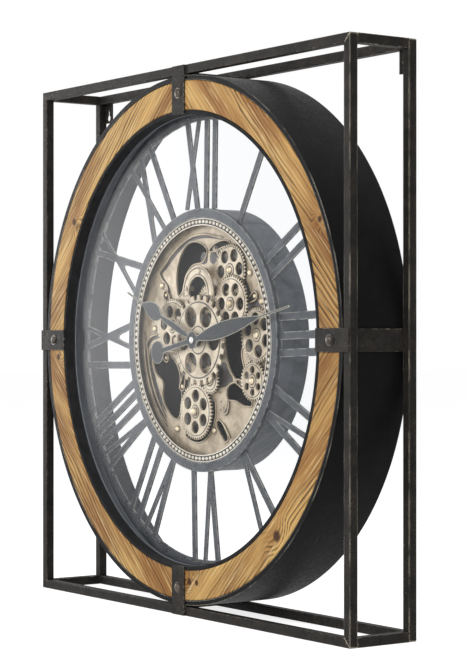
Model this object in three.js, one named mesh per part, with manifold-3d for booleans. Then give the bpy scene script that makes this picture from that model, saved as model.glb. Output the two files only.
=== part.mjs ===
// Square box frame wall clock with a wooden bezel, a skeleton dial and a turning gear train.
// Millimetres, +Z up, the dial faces -Y, the origin is under the middle of the clock.
import * as THREE from 'three';
import { mergeVertices } from 'three/addons/utils/BufferGeometryUtils.js';
import Module from 'manifold-3d';

const wasm = await Module();
wasm.setup();
const degrees = THREE.MathUtils.degToRad;

// Steel box frame
const frameSide = 600;
const frameDepth = 85;
const tubeSide = 10;
const tubeWall = 1;
const sidePlateWidth = 23;
const sidePlateThickness = 3;
const hangerWidth = 15;
const hangerHeight = 23;
const hangerThickness = 2;
const keyholeRadius = 4;
const keyholeSlotRadius = 2;
const keyholeDrop = 17;
const keyholeTravel = 8;

// Straps and their screws
const strapWidth = 24;
const strapThickness = 2;
const screwHeadRadius = 5;
const screwHeadHeight = 3;
const screwShankRadius = 2;
const screwOffset = 3;
const domeShares = [0, 0.45, 0.9];

// Drum, bezel and glass
const sheet = 1.25;
const frameClearance = 1.25;
const drumRimWidth = 5.5;
const bezelLipWidth = 4;
const woodWidth = 32.15;
const woodThickness = 11;
const glassThickness = 2;
const glassOverlap = 9.5;
const retainerOverlap = 9;
const drumTabCount = 4;
const drumTabWidth = 16;
const drumTabReach = 12;

// Dial
const numeralDepth = 29.5;
const numeralThickness = 2.25;
const dialDepth = 31;
const dialThickness = 1.5;
const outerRingWidth = 45;
const innerRingWidth = 10.4;
const innerRingDepth = 26;
const numeralInset = 1;
const numeralOverlap = 3;
const broadStroke = 8.5;
const fineStroke = 6.2;

// Numerals from XII on: how far each leans past its hour in degrees, then its letters with their
// offset from the numeral's axis, half width at the foot and half width at the head, less than 0 if mirrored
const numerals = [
  { lean: 1.1, letters: [['X', -22.3, 10.6, 11.9], ['I', 5.2], ['I', 20.9]] },
  { lean: 0, letters: [['I', -2.3]] },
  { lean: -1, letters: [['I', -9.8], ['I', 9.8]] },
  { lean: -1.8, letters: [['I', -19.7], ['I', 0.3], ['I', 18.3]] },
  { lean: -4.1, letters: [['I', -14.4], ['V', 15.8, -1.5, -13]] },
  { lean: -1.9, letters: [['V', -3.1, 1.5, 17.6]] },
  { lean: -1.4, letters: [['V', -12.6, 0.7, 12.7], ['I', 19.9]] },
  { lean: -0.3, letters: [['V', -16.5, 0.5, 10.3], ['I', 11], ['I', 29.5]] },
  { lean: -0.5, letters: [['V', -21.3, 0.5, 9.3], ['I', 0.7], ['I', 15.2], ['I', 28.7]] },
  { lean: -0.4, letters: [['I', -28], ['X', 5.2, 13.2, 11.5]] },
  { lean: -1.8, letters: [['X', 0, 17.5, 12.8]] },
  { lean: -0.2, letters: [['X', -14.3, -13, -12], ['I', 19.3]] },
];

// Gear module housing
const housingRadius = 145;
const housingCollar = 0.75;
const housingCollarDepth = 4.5;
const housingEnd = 69;
const ledgeWidth = 5.75;
const floorDepth = 35.25;
const floorThickness = 1.5;
const backLedgeDepth = 48.75;
const beadRingDepth = 27.5;
const beadRingThickness = 1.75;
const beadRingWidth = 8;
const beadRingWall = 1;

// Clear radius inside the bead ring at which the train, the floor's work and the arch are drawn
const drawnRadius = 133.3;

// Raised work and cut-outs of the module's floor, as x and z from the dial centre
const ribHeight = 1.5;
const ribWidth = 2.5;
const ribs = [
  { radius: 118, from: 222, to: 272 },
  { radius: 125, from: 218, to: 276 },
  { radius: 118, from: 292, to: 368 },
];
const halo = { x: -18, z: -76, outer: 37, inner: 27, from: 75, to: 215 };
const archOpening = { x: -14, z: 57, radius: 19 };
const floorScrews = [[-88, 62], [-103, 13], [-56, -100], [17, -99], [84, 72], [106, 41]];
const floorScrewRadius = 3.5;
const floorScrewHeight = 2;
const leverRadius = 6;
const leverEndRadius = 3;
const leverLength = 16;
const floorLevers = [
  { x: -80, z: 47, angle: 40 },
  { x: -79, z: -7, angle: 137.5 },
  { x: 94, z: 52, angle: 68.8 },
  { x: 79, z: -84, angle: 22.9 },
  { x: -44, z: -44, angle: 28.6 },
];
const cutOuts = [
  [
    [-54, 50], [-58, 72], [-50, 94], [-34, 107], [-16, 108],
    [2, 99], [-4, 88], [-26, 84], [-40, 72], [-46, 56],
  ],
  [[8, 99], [22, 106], [36, 108], [47, 105], [32, 102], [18, 98]],
  [
    [-106, -20], [-102, -36], [-86, -48], [-86, -66], [-74, -81],
    [-56, -88], [-48, -66], [-56, -30], [-80, -15],
  ],
  [
    [37, 20], [56, 23], [84, 24], [90, 17], [76, 2],
    [68, -14], [74, -38], [62, -43], [46, -31], [38, -8],
  ],
  [[42, -63], [42, -53], [52, -47], [66, -49], [77, -57], [88, -69], [74, -70], [58, -65]],
  [[21, -91], [27, -88], [43, -107], [38, -110]],
];

// Gears
const drawnModule = 1.27;
const addendumFactor = 0.8;
const dedendumFactor = 1.15;
const pressureAngle = degrees(20);
const backlash = 0.22;
const wheelTeeth = 48;
const idlerTeeth = 24;
const rightTeeth = 45;
const smallTeeth = 33;
const topTeeth = 44;
const topPinionTeeth = 14;
const gearDepth = 29.75;
const gearThickness = 2.5;
const deepGearDepth = 32.75;
const deepGearThickness = 2;
const hubRadius = 4.5;
const hubRise = 1;
const arborRadius = 2;
const arborTail = 4;
const tallHubRise = 2;
const drivenHubRise = 3;
const windowCount = 6;
const windowRadius = 7;
const windowCircle = 17.5;
const smallWindowRadius = 4;
const smallWindowCircle = 12;

// Clock angle at which each wheel sits beside the wheel that it meshes with, in degrees
const leftAngle = 284.5;
const lowerIdlerAngle = 160.2;
const lowerAngle = 218.1;
const upperIdlerAngle = 11.9;
const upperAngle = 96.9;
const rightAngle = 124.9;
const smallAngle = 189;
const topAngle = 351.9;

// Clock angle of one window of each wheel, in degrees
const leftWindows = 41;
const lowerWindows = 1;
const upperWindows = 31;
const rightWindows = 50;
const smallWindows = 0;
const topWindows = 26;
const crownWindows = 30;

// Centre wheel
const crownDepth = 24.75;
const crownThickness = 2.75;
const crownTeeth = 24;
const crownTipRadius = 50;
const crownRootRadius = 44.5;
const crownRootShare = 0.29;
const crownTipShare = 0.22;
const crownWindowRadius = 11.5;
const crownWindowCircle = 29;
const crownHubRadius = 12;

// Arch bridge in front of the upper idler
const archDepth = 25.5;
const archThickness = 2;
const archX = -2;
const archZ = 52;
const archOuterRadius = 30;
const archInnerRadius = 18;
const archHalfAngle = degrees(97);
const archFoot = 3;
const archLegAngles = [degrees(-77.35), degrees(5.73)];

// Hands and their arbors
const minuteHandDepth = 16.5;
const hourHandDepth = 18.25;
const handThickness = 1.25;
const minuteLength = 182;
const hourLength = 147;
const minuteClockAngle = degrees(79);
const hourClockAngle = degrees(292);
const tailLength = 71;
const tailDiscRadius = 13;
const handBarHalf = 3;
const minuteLeafHalf = 9;
const minuteLeafEnd = 128;
const minuteLeafNeck = 1.5;
const minuteLeafWidest = 0.42;
const minuteHubRadius = 10;
const hourHubRadius = 9;
const hourStemEnd = 70;
const hourStemHalf = 4.2;
const hourStemWidest = 0.5;
const hourNeckHalf = 2;
const hourSpadeEnd = 113;
const hourSpadeHalf = 10;
const hourSpadeNeck = 1;
const hourSpadeWidest = 0.38;
const handTipHalf = 1.2;
const nutRadius = 3.8;
const nutHeight = 1.75;
const nutDome = 1.1;
const nutBoreDepth = 0.875;
const minuteArborRadius = 1.5;
const minuteArborEnd = 58;
const collarRadius = 3;
const collarThickness = 0.25;
const pipeWall = 0.8;
const pipeEnd = 56;
const bushWall = 1.3;
const bushFront = 20.5;
const bushFlangeRadius = 7;
const bushFlangeThickness = 2;

// Movement and gear drive on the back of the module
const movementSide = 56;
const caseThickness = 15.75;
const bayLength = 52;
const bayWidth = 15.5;
const bayDepth = 13.5;
const cellLength = 50;
const cellRadius = 7.2;
const cellButtonRadius = 2.75;
const cellButtonLength = 1;
const movementBayDrop = 16;
const knobRadius = 8;
const knobHeight = 3.5;
const knobShankRadius = 2;
const knobShankLength = 4;
const knobRise = 14;
const driveWidth = 80;
const driveHeight = 63;
const driveRise = 9.5;
const driveBayRises = [2.5, 20.5];
const switchSlotLength = 14;
const switchSlotWidth = 5;
const switchSlotDepth = 3;
const switchDrop = 14;
const switchLength = 6;
const switchTravel = 4;
const switchHandle = 1.5;
const caseCorner = 3;

// Fits
const fit = 0.3;
const running = 0.3;
const overcut = 1;

// Steps round a circle
const roundSteps = 48;
const smallSteps = 12;
const arborSteps = 8;
const arcSteps = 10;
const cornerSteps = 4;
const leafSteps = 8;

// Places that follow from the sizes above
const halfSide = frameSide / 2;
const frontPlane = (strapThickness + screwHeadHeight - frameDepth) / 2;
const drumRadius = halfSide - tubeSide - frameClearance;
const drumBore = drumRadius - sheet;
const woodOuterRadius = drumRadius - drumRimWidth - fit;
const woodInnerRadius = woodOuterRadius - woodWidth;
const screwCircle = (woodInnerRadius + woodOuterRadius) / 2 + screwOffset;
const bezelBoreRadius = woodInnerRadius - fit - bezelLipWidth;
const glassDepth = woodThickness + sheet;
const glassRadius = bezelBoreRadius + glassOverlap;
const dialRadius = drumBore - fit;
const numeralInner = housingRadius - numeralInset;
const numeralOuter = dialRadius - outerRingWidth + numeralOverlap;
const housingBore = housingRadius - sheet;
const ledgeRadius = housingBore - ledgeWidth;
const floorBack = floorDepth + floorThickness;
const backPlateDepth = backLedgeDepth + sheet;
const caseDepth = backPlateDepth + sheet;
const caseEnd = caseDepth + caseThickness;
const beadRingRadius = housingRadius - innerRingWidth - fit;
const pipeRadius = minuteArborRadius + running + pipeWall;
const bushBore = pipeRadius + running;
const bushRadius = bushBore + bushWall;
const centreBore = bushRadius + running;
const nutDepth = minuteHandDepth - nutHeight;
const trainScale = (beadRingRadius - beadRingWall) / drawnRadius;
const gearModule = drawnModule * trainScale;
const addendum = addendumFactor * gearModule;
const dedendum = dedendumFactor * gearModule;
const pitchRadius = (teeth) => (teeth * gearModule) / 2;
const scaled = (...values) => values.map((value) => value * trainScale);

// Finishes
const finishes = {
  steel: { color: 0x2c2a28, roughness: 0.6, metalness: 0.6 },
  wood: { color: 0xcda05a, roughness: 0.55, metalness: 0 },
  glass: { color: 0xdfe6ea, roughness: 0.05, metalness: 0 },
  dial: { color: 0x55585c, roughness: 0.5, metalness: 0.6 },
  gold: { color: 0xdecdaf, roughness: 0.45, metalness: 0.7 },
  plastic: { color: 0x1a1a1a, roughness: 0.5, metalness: 0 },
  zinc: { color: 0xc8c8c8, roughness: 0.35, metalness: 0.9 },
};

const clock = new THREE.Group();
const sides = ['top', 'right', 'bottom', 'left'];
const sideTurn = (index) => (index * Math.PI) / 2;

// A point at a clock angle, clockwise from twelve as seen from the front
function onCircle(radius, angle, x = 0, z = 0) {
  return new THREE.Vector2(x + radius * Math.sin(angle), z + radius * Math.cos(angle));
}

function arcPoints(radius, from, to, steps, x = 0, z = 0) {
  const points = [];
  for (let i = 0; i <= steps; i += 1) {
    points.push(onCircle(radius, from + ((to - from) * i) / steps, x, z));
  }
  return points;
}

function circlePoints(radius, steps, x = 0, z = 0) {
  return arcPoints(radius, 0, 2 * Math.PI, steps, x, z).slice(1);
}

// A flat plate whose front face lies at y = 0 and which reaches back by its thickness
function plate(outline, thickness, holes = []) {
  const clockwise = THREE.ShapeUtils.isClockWise(outline);
  const shape = new THREE.Shape(clockwise ? [...outline].reverse() : outline);
  shape.holes = holes.map((points) => new THREE.Path(points));
  const geometry = new THREE.ExtrudeGeometry(shape, { depth: thickness, bevelEnabled: false });
  return geometry.rotateX(Math.PI / 2).translate(0, thickness, 0);
}

function ringPlate(outer, inner, thickness, steps) {
  return plate(circlePoints(outer, steps), thickness, [circlePoints(inner, steps)]);
}

function discPlate(radius, thickness, steps, x = 0, z = 0) {
  return plate(circlePoints(radius, steps, x, z), thickness);
}

function rectangle(width, height, x = 0, z = 0) {
  const w = width / 2;
  const h = height / 2;
  return [[-w, -h], [w, -h], [w, h], [-w, h]].map(([u, v]) => new THREE.Vector2(x + u, z + v));
}

function roundedRectangle(width, height, corner, x = 0, z = 0) {
  const points = [];
  [[1, 1], [1, -1], [-1, -1], [-1, 1]].forEach(([u, v], index) => {
    const cx = x + u * (width / 2 - corner);
    const cz = z + v * (height / 2 - corner);
    points.push(...arcPoints(corner, sideTurn(index), sideTurn(index + 1), cornerSteps, cx, cz));
  });
  return points;
}

// A body turned about the clock's axis from a profile of [radius, depth] pairs
function turned(profile, steps) {
  const points = profile.map(([radius, depth]) => new THREE.Vector2(radius, depth));
  if (THREE.ShapeUtils.area(points) < 0) points.reverse();
  const onAxis = points.filter((point) => point.x === 0).length > 1;
  if (onAxis) {
    while (points[0].x !== 0 || points[points.length - 1].x !== 0) points.push(points.shift());
  } else {
    points.push(points[0].clone());
  }
  return new THREE.LatheGeometry(points, steps);
}

// Joining and cutting of closed geometries
function solidOf(geometry) {
  const bare = geometry.clone();
  bare.deleteAttribute('normal');
  bare.deleteAttribute('uv');
  const merged = mergeVertices(bare, 1e-4);
  return new wasm.Manifold(new wasm.Mesh({
    numProp: 3,
    vertProperties: new Float32Array(merged.attributes.position.array),
    triVerts: new Uint32Array(merged.index.array),
  }));
}

function geometryOf(solid) {
  const mesh = solid.getMesh();
  const geometry = new THREE.BufferGeometry();
  geometry.setAttribute('position', new THREE.BufferAttribute(mesh.vertProperties, 3));
  geometry.setIndex(new THREE.BufferAttribute(mesh.triVerts, 1));
  geometry.computeVertexNormals();
  return geometry;
}

function joined(geometries) {
  return geometryOf(geometries.map(solidOf).reduce((whole, next) => whole.add(next)));
}

function cut(geometry, tools) {
  return geometryOf(tools.map(solidOf).reduce((whole, tool) => whole.subtract(tool), solidOf(geometry)));
}

// Places a piece by its offset from the dial centre and its depth behind the frame's front plane
function addPiece(name, geometry, finish, { x = 0, z = 0, depth = 0, turn = 0 } = {}) {
  const mesh = new THREE.Mesh(geometry, new THREE.MeshStandardMaterial(finishes[finish]));
  mesh.name = name;
  mesh.position.set(x, frontPlane + depth, halfSide + z);
  mesh.rotation.y = turn;
  clock.add(mesh);
}

// Square tube with mitred ends, lying along x above the centre by the frame's half side
function mitredTube() {
  const centreline = halfSide - tubeSide / 2;
  const bore = tubeSide - 2 * tubeWall;
  const geometry = plate(rectangle(tubeSide, tubeSide), 1, [rectangle(bore, bore)]);
  geometry.rotateZ(-Math.PI / 2).translate(-0.5, tubeSide / 2, 0);
  const position = geometry.attributes.position;
  for (let i = 0; i < position.count; i += 1) {
    position.setX(i, Math.sign(position.getX(i)) * (centreline + position.getZ(i)));
  }
  return geometry.translate(0, 0, centreline);
}

function addFrame() {
  const rearDepth = frameDepth - tubeSide;
  sides.forEach((side, index) => {
    addPiece(`front_bar_${side}`, mitredTube(), 'steel', { turn: sideTurn(index) });
    addPiece(`rear_bar_${side}`, mitredTube(), 'steel', { turn: sideTurn(index), depth: rearDepth });
  });
  const corner = halfSide - tubeSide / 2;
  const bore = tubeSide - 2 * tubeWall;
  const strut = plate(rectangle(tubeSide, tubeSide), rearDepth - tubeSide, [rectangle(bore, bore)]);
  for (const [side, u] of [['left', -1], ['right', 1]]) {
    for (const [level, v] of [['lower', -1], ['upper', 1]]) {
      addPiece(`corner_strut_${level}_${side}`, strut.clone(), 'steel', {
        x: u * corner, z: v * corner, depth: tubeSide,
      });
    }
  }
}

function addSidePlates() {
  const height = drumRadius + fit + sidePlateThickness / 2;
  const length = frameDepth - 2 * tubeSide;
  sides.forEach((side, index) => {
    const outline = rectangle(sidePlateWidth, sidePlateThickness, 0, height);
    addPiece(`side_plate_${side}`, plate(outline, length), 'steel', {
      turn: sideTurn(index), depth: tubeSide,
    });
  });
}

// Keyhole tabs in the rear frame's upper corners
function keyholeOutline(x, z) {
  const neck = Math.asin(keyholeSlotRadius / keyholeRadius);
  const round = arcPoints(keyholeRadius, neck, 2 * Math.PI - neck, arcSteps, x, z);
  const slot = arcPoints(keyholeSlotRadius, -Math.PI / 2, Math.PI / 2, cornerSteps, x, z + keyholeTravel);
  return round.concat(slot);
}

function addHangers() {
  const edge = halfSide - tubeSide;
  const x = edge - hangerWidth / 2;
  const outline = rectangle(hangerWidth, hangerHeight, 0, edge - hangerHeight / 2);
  const hanger = plate(outline, hangerThickness, [keyholeOutline(0, edge - keyholeDrop)]);
  for (const [side, u] of [['left', -1], ['right', 1]]) {
    addPiece(`hanger_${side}`, hanger.clone(), 'steel', { x: u * x, depth: frameDepth - hangerThickness });
  }
}

// Round drum, its front rim and the tabs that carry the dial
function addDrum() {
  const wall = turned([
    [drumRadius, 0],
    [drumRadius, frameDepth],
    [drumBore, frameDepth],
    [drumBore, sheet],
    [drumRadius - drumRimWidth, sheet],
    [drumRadius - drumRimWidth, 0],
  ], roundSteps);
  const pieces = [wall];
  const inner = drumBore - drumTabReach;
  const outer = drumRadius - sheet / 2;
  for (let i = 0; i < drumTabCount; i += 1) {
    const tab = plate(rectangle(drumTabWidth, outer - inner, 0, (inner + outer) / 2), sheet);
    tab.rotateY(((i + 0.5) * 2 * Math.PI) / drumTabCount);
    pieces.push(tab.translate(0, dialDepth + dialThickness, 0));
  }
  addPiece('drum', joined(pieces), 'steel');
}

// Channel that seats the wood, stops the glass and forms the inner lip
function addBezelTray() {
  const wall = bezelBoreRadius + sheet;
  addPiece('bezel_tray', turned([
    [bezelBoreRadius + bezelLipWidth, 0],
    [bezelBoreRadius + bezelLipWidth, sheet],
    [wall, sheet],
    [wall, woodThickness],
    [dialRadius, woodThickness],
    [dialRadius, glassDepth],
    [bezelBoreRadius, glassDepth],
    [bezelBoreRadius, 0],
  ], roundSteps), 'steel');
}

function addGlass() {
  addPiece('glass', discPlate(glassRadius, glassThickness, roundSteps), 'glass', { depth: glassDepth });
  const retainer = ringPlate(glassRadius + retainerOverlap, bezelBoreRadius + fit, sheet, roundSteps);
  addPiece('glass_retainer', retainer, 'steel', { depth: glassDepth + glassThickness });
}

// Four wooden quarters, notched where the strap screws pass between them
function addWoodRing() {
  const notch = screwShankRadius + fit;
  const names = ['top_right', 'bottom_right', 'bottom_left', 'top_left'];
  names.forEach((name, index) => {
    const from = sideTurn(index);
    const to = sideTurn(index + 1);
    const start = onCircle(screwCircle, from);
    const end = onCircle(screwCircle, to);
    const outline = [
      ...arcPoints(woodOuterRadius, from, to, roundSteps / 4),
      ...arcPoints(notch, to, to - Math.PI, cornerSteps, end.x, end.y),
      ...arcPoints(woodInnerRadius, to, from, roundSteps / 4),
      ...arcPoints(notch, from + Math.PI, from, cornerSteps, start.x, start.y),
    ];
    addPiece(`wood_${name}`, plate(outline, woodThickness), 'wood');
  });
}

// Half profile of a domed head between the depths of its crown and its rim
function domeProfile(radius, crown, rim) {
  return domeShares.map((share) => {
    const angle = (share * Math.PI) / 2;
    return [radius * Math.sin(angle), rim + (crown - rim) * Math.cos(angle)];
  });
}

// Straps from the frame over the wood, each held by a domed screw
function addStraps() {
  const length = halfSide - bezelBoreRadius;
  const outline = rectangle(strapWidth, length, 0, bezelBoreRadius + length / 2);
  const hole = circlePoints(screwShankRadius + fit, smallSteps, 0, screwCircle);
  const strap = plate(outline, strapThickness, [hole]);
  const screwEnd = woodThickness - fit;
  const screw = turned([
    ...domeProfile(screwHeadRadius, -strapThickness - screwHeadHeight, -strapThickness),
    [screwHeadRadius, -strapThickness],
    [screwShankRadius, -strapThickness],
    [screwShankRadius, screwEnd],
    [0, screwEnd],
  ], smallSteps).translate(0, 0, screwCircle);
  sides.forEach((side, index) => {
    addPiece(`strap_${side}`, strap.clone(), 'steel', { turn: sideTurn(index), depth: -strapThickness });
    addPiece(`strap_screw_${side}`, screw.clone(), 'steel', { turn: sideTurn(index) });
  });
}

// Roman numerals as strokes between two points of the numeral's own upright frame
function stroke(foot, head, width) {
  const half = width / 2;
  return [
    [foot - half, numeralInner],
    [foot + half, numeralInner],
    [head + half, numeralOuter],
    [head - half, numeralOuter],
  ];
}

const letterStrokes = {
  I: (at) => [stroke(at, at, broadStroke)],
  V: (at, foot, head) => [
    stroke(at - foot, at - head, broadStroke),
    stroke(at + foot, at + head, fineStroke),
  ],
  X: (at, foot, head) => [
    stroke(at + foot, at - head, broadStroke),
    stroke(at - foot, at + head, fineStroke),
  ],
};

function numeralPlates({ lean, letters }, hour) {
  const turn = degrees(lean) + (hour * Math.PI) / 6;
  const outlines = letters.flatMap(([letter, ...sizes]) => letterStrokes[letter](...sizes));
  return outlines.map((outline) => {
    const points = outline.map(([u, v]) => new THREE.Vector2(u, v));
    return plate(points, numeralThickness).rotateY(turn);
  });
}

// Skeleton dial: a flat outer ring, a raised inner ring with a wall and the numerals between them
function addDial() {
  const outerRing = ringPlate(dialRadius, dialRadius - outerRingWidth, dialThickness, roundSteps);
  const inner = housingRadius - innerRingWidth;
  const wall = housingRadius - sheet;
  const innerRing = turned([
    [inner, innerRingDepth],
    [housingRadius, innerRingDepth],
    [housingRadius, dialDepth + dialThickness],
    [wall, dialDepth + dialThickness],
    [wall, innerRingDepth + dialThickness],
    [inner, innerRingDepth + dialThickness],
  ], roundSteps);
  const strokes = numerals.flatMap(numeralPlates);
  const plates = strokes.map((strokePlate) => strokePlate.translate(0, numeralDepth, 0));
  const pieces = [outerRing.translate(0, dialDepth, 0), innerRing, ...plates];
  addPiece('dial', joined(pieces), 'dial');
}

// Cup behind the dial with a collar in front and ledges for the floor and the back plate
function addHousing() {
  const front = dialDepth + dialThickness;
  const wall = housingRadius - housingCollar;
  addPiece('gear_housing', turned([
    [housingRadius, front],
    [housingRadius, front + housingCollarDepth],
    [wall, front + housingCollarDepth],
    [wall, housingEnd],
    [housingBore - housingCollar, housingEnd],
    [housingBore - housingCollar, backPlateDepth],
    [ledgeRadius, backPlateDepth],
    [ledgeRadius, backLedgeDepth],
    [housingBore - housingCollar, backLedgeDepth],
    [housingBore - housingCollar, floorBack + sheet],
    [ledgeRadius, floorBack + sheet],
    [ledgeRadius, floorBack],
    [housingBore, floorBack],
    [housingBore, front],
  ], roundSteps), 'dial');
}

// Gear places: each wheel sits at a clock angle beside the wheel that drives it
function besideWheel(driver, teeth, angle, driverTeeth = driver.teeth) {
  const reach = pitchRadius(driverTeeth) + pitchRadius(teeth);
  const place = onCircle(reach, angle, driver.x, driver.z);
  const pitch = (2 * Math.PI) / driverTeeth;
  const offset = (driver.turn - angle) % pitch;
  const turn = angle + Math.PI - (driverTeeth / teeth) * offset + Math.PI / teeth;
  return { x: place.x, z: place.y, teeth, turn: turn % (2 * Math.PI) };
}

const centre = { x: 0, z: 0, teeth: wheelTeeth, turn: 0 };
const leftWheel = besideWheel(centre, wheelTeeth, degrees(leftAngle));
const lowerIdler = besideWheel(centre, idlerTeeth, degrees(lowerIdlerAngle));
const lowerWheel = besideWheel(lowerIdler, wheelTeeth, degrees(lowerAngle));
const upperIdler = besideWheel(centre, idlerTeeth, degrees(upperIdlerAngle));
const upperWheel = besideWheel(upperIdler, wheelTeeth, degrees(upperAngle));
const rightWheel = besideWheel(upperWheel, rightTeeth, degrees(rightAngle));
const smallWheel = besideWheel(rightWheel, smallTeeth, degrees(smallAngle));
const topWheel = besideWheel(upperWheel, topTeeth, degrees(topAngle), topPinionTeeth);

// Half the angle that a tooth takes at a radius, on an involute flank
function toothHalfAngle(teeth, radius) {
  const involute = (angle) => Math.tan(angle) - angle;
  const pitch = pitchRadius(teeth);
  const base = pitch * Math.cos(pressureAngle);
  const atRadius = radius > base ? Math.acos(base / radius) : 0;
  const half = (Math.PI * gearModule / 2 - backlash) / (2 * pitch);
  return half + involute(pressureAngle) - involute(atRadius);
}

function toothedOutline(teeth, turn, rootRadius, tipRadius, rootHalf, tipHalf) {
  const points = [];
  for (let i = 0; i < teeth; i += 1) {
    const middle = turn + (2 * Math.PI * i) / teeth;
    points.push(onCircle(rootRadius, middle - rootHalf));
    points.push(onCircle(tipRadius, middle - tipHalf));
    points.push(onCircle(tipRadius, middle + tipHalf));
    points.push(onCircle(rootRadius, middle + rootHalf));
  }
  return points;
}

function gearOutline(teeth, turn) {
  const root = pitchRadius(teeth) - dedendum;
  const tip = pitchRadius(teeth) + addendum;
  return toothedOutline(teeth, turn, root, tip, toothHalfAngle(teeth, root), toothHalfAngle(teeth, tip));
}

function windows(drawnWindow, drawnCircle, angle, steps = arborSteps) {
  const [radius, circle] = scaled(drawnWindow, drawnCircle);
  return Array.from({ length: windowCount }, (_, i) => {
    const place = onCircle(circle, degrees(angle) + (2 * i * Math.PI) / windowCount);
    return circlePoints(radius, steps, place.x, place.y);
  });
}

// Arbor with a hub in front of the wheel, a shoulder behind it and a tail in the floor's bearing
function arbor(hubFront, tailEnd) {
  return turned([
    [0, hubFront],
    [hubRadius, hubFront],
    [hubRadius, floorDepth - running],
    [arborRadius, floorDepth - running],
    [arborRadius, tailEnd],
    [0, tailEnd],
  ], arborSteps);
}

function addWheel(name, wheel, options = {}) {
  const { angle, radius = windowRadius, circle = windowCircle, layer = gearDepth,
    thickness = gearThickness, tailEnd = floorBack + arborTail, hubFront = layer - hubRise,
    extra = [] } = options;
  const holes = angle === undefined ? [] : windows(radius, circle, angle);
  const blank = plate(gearOutline(wheel.teeth, wheel.turn), thickness, holes).translate(0, layer, 0);
  const pieces = [blank, arbor(hubFront, tailEnd), ...extra];
  addPiece(name, joined(pieces), 'gold', { x: wheel.x, z: wheel.z });
}

function addTrain() {
  addWheel('left_wheel', leftWheel, { angle: leftWindows, hubFront: gearDepth - tallHubRise });
  addWheel('lower_idler', lowerIdler);
  addWheel('lower_wheel', lowerWheel, {
    angle: lowerWindows, hubFront: gearDepth - drivenHubRise, tailEnd: caseDepth + arborTail,
  });
  addWheel('upper_idler', upperIdler);
  const pinionTurn = besideWheel(topWheel, topPinionTeeth, degrees(topAngle - 180)).turn;
  const pinionLength = deepGearDepth + deepGearThickness - gearDepth;
  const pinion = plate(gearOutline(topPinionTeeth, pinionTurn), pinionLength);
  addWheel('upper_wheel', upperWheel, {
    angle: upperWindows, hubFront: gearDepth - tallHubRise,
    extra: [pinion.translate(0, gearDepth, 0)],
  });
  addWheel('right_wheel', rightWheel, { angle: rightWindows });
  addWheel('small_wheel', smallWheel, {
    angle: smallWindows, radius: smallWindowRadius, circle: smallWindowCircle,
  });
  addWheel('top_wheel', topWheel, {
    angle: topWindows, layer: deepGearDepth, thickness: deepGearThickness,
  });
}

// Centre wheel: a fine wheel behind a coarse toothed crown on one hub, running on the bush
function addCentreWheel() {
  const crownPitch = (2 * Math.PI) / crownTeeth;
  const bore = circlePoints(centreBore, smallSteps);
  const crownOutline = toothedOutline(crownTeeth, 0, ...scaled(crownRootRadius, crownTipRadius),
    crownPitch * crownRootShare, crownPitch * crownTipShare);
  const crownHoles = windows(crownWindowRadius, crownWindowCircle, crownWindows, smallSteps);
  const crown = plate(crownOutline, crownThickness, [bore, ...crownHoles]).translate(0, crownDepth, 0);
  const wheel = plate(gearOutline(wheelTeeth, centre.turn), gearThickness, [bore]);
  const hubStart = crownDepth + crownThickness / 2;
  const hubLength = gearDepth + gearThickness / 2 - hubStart;
  const hub = plate(circlePoints(crownHubRadius, smallSteps), hubLength, [bore]);
  const pieces = [crown, wheel.translate(0, gearDepth, 0), hub.translate(0, hubStart, 0)];
  addPiece('centre_wheel', joined(pieces), 'gold');
}

// A closed curve through the corner points of a cut-out
function smoothOutline(corners) {
  const points = corners.map((corner) => new THREE.Vector3(...scaled(...corner), 0));
  const curve = new THREE.CatmullRomCurve3(points, true, 'centripetal');
  return curve.getPoints(2 * corners.length).slice(1).map((p) => new THREE.Vector2(p.x, p.y));
}

function leverPlate(lever) {
  const [x, z] = scaled(lever.x, lever.z);
  const angle = degrees(lever.angle);
  const end = onCircle(leverLength, angle, x, z);
  const outline = [
    ...arcPoints(leverRadius, angle + Math.PI / 2, angle + (3 * Math.PI) / 2, leafSteps, x, z),
    ...arcPoints(leverEndRadius, angle - Math.PI / 2, angle + Math.PI / 2, cornerSteps, end.x, end.y),
  ];
  return plate(outline, 2 * ribHeight).translate(0, -ribHeight, 0);
}

// A band of a ring between two clock angles in degrees
function bandOutline(outer, inner, from, to, x = 0, z = 0) {
  return [
    ...arcPoints(outer, degrees(from), degrees(to), arcSteps, x, z),
    ...arcPoints(inner, degrees(to), degrees(from), arcSteps, x, z),
  ];
}

function floorRib({ radius: drawn, from, to }) {
  const [radius] = scaled(drawn);
  const outline = bandOutline(radius + ribWidth / 2, radius - ribWidth / 2, from, to);
  return plate(outline, 2 * ribHeight).translate(0, -ribHeight, 0);
}

function screwHead(x, z) {
  return turned([
    ...domeProfile(floorScrewRadius, -floorScrewHeight, 0),
    [floorScrewRadius, 0],
    [floorScrewRadius, floorThickness / 2],
    [0, floorThickness / 2],
  ], smallSteps).translate(x, 0, z);
}

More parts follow.
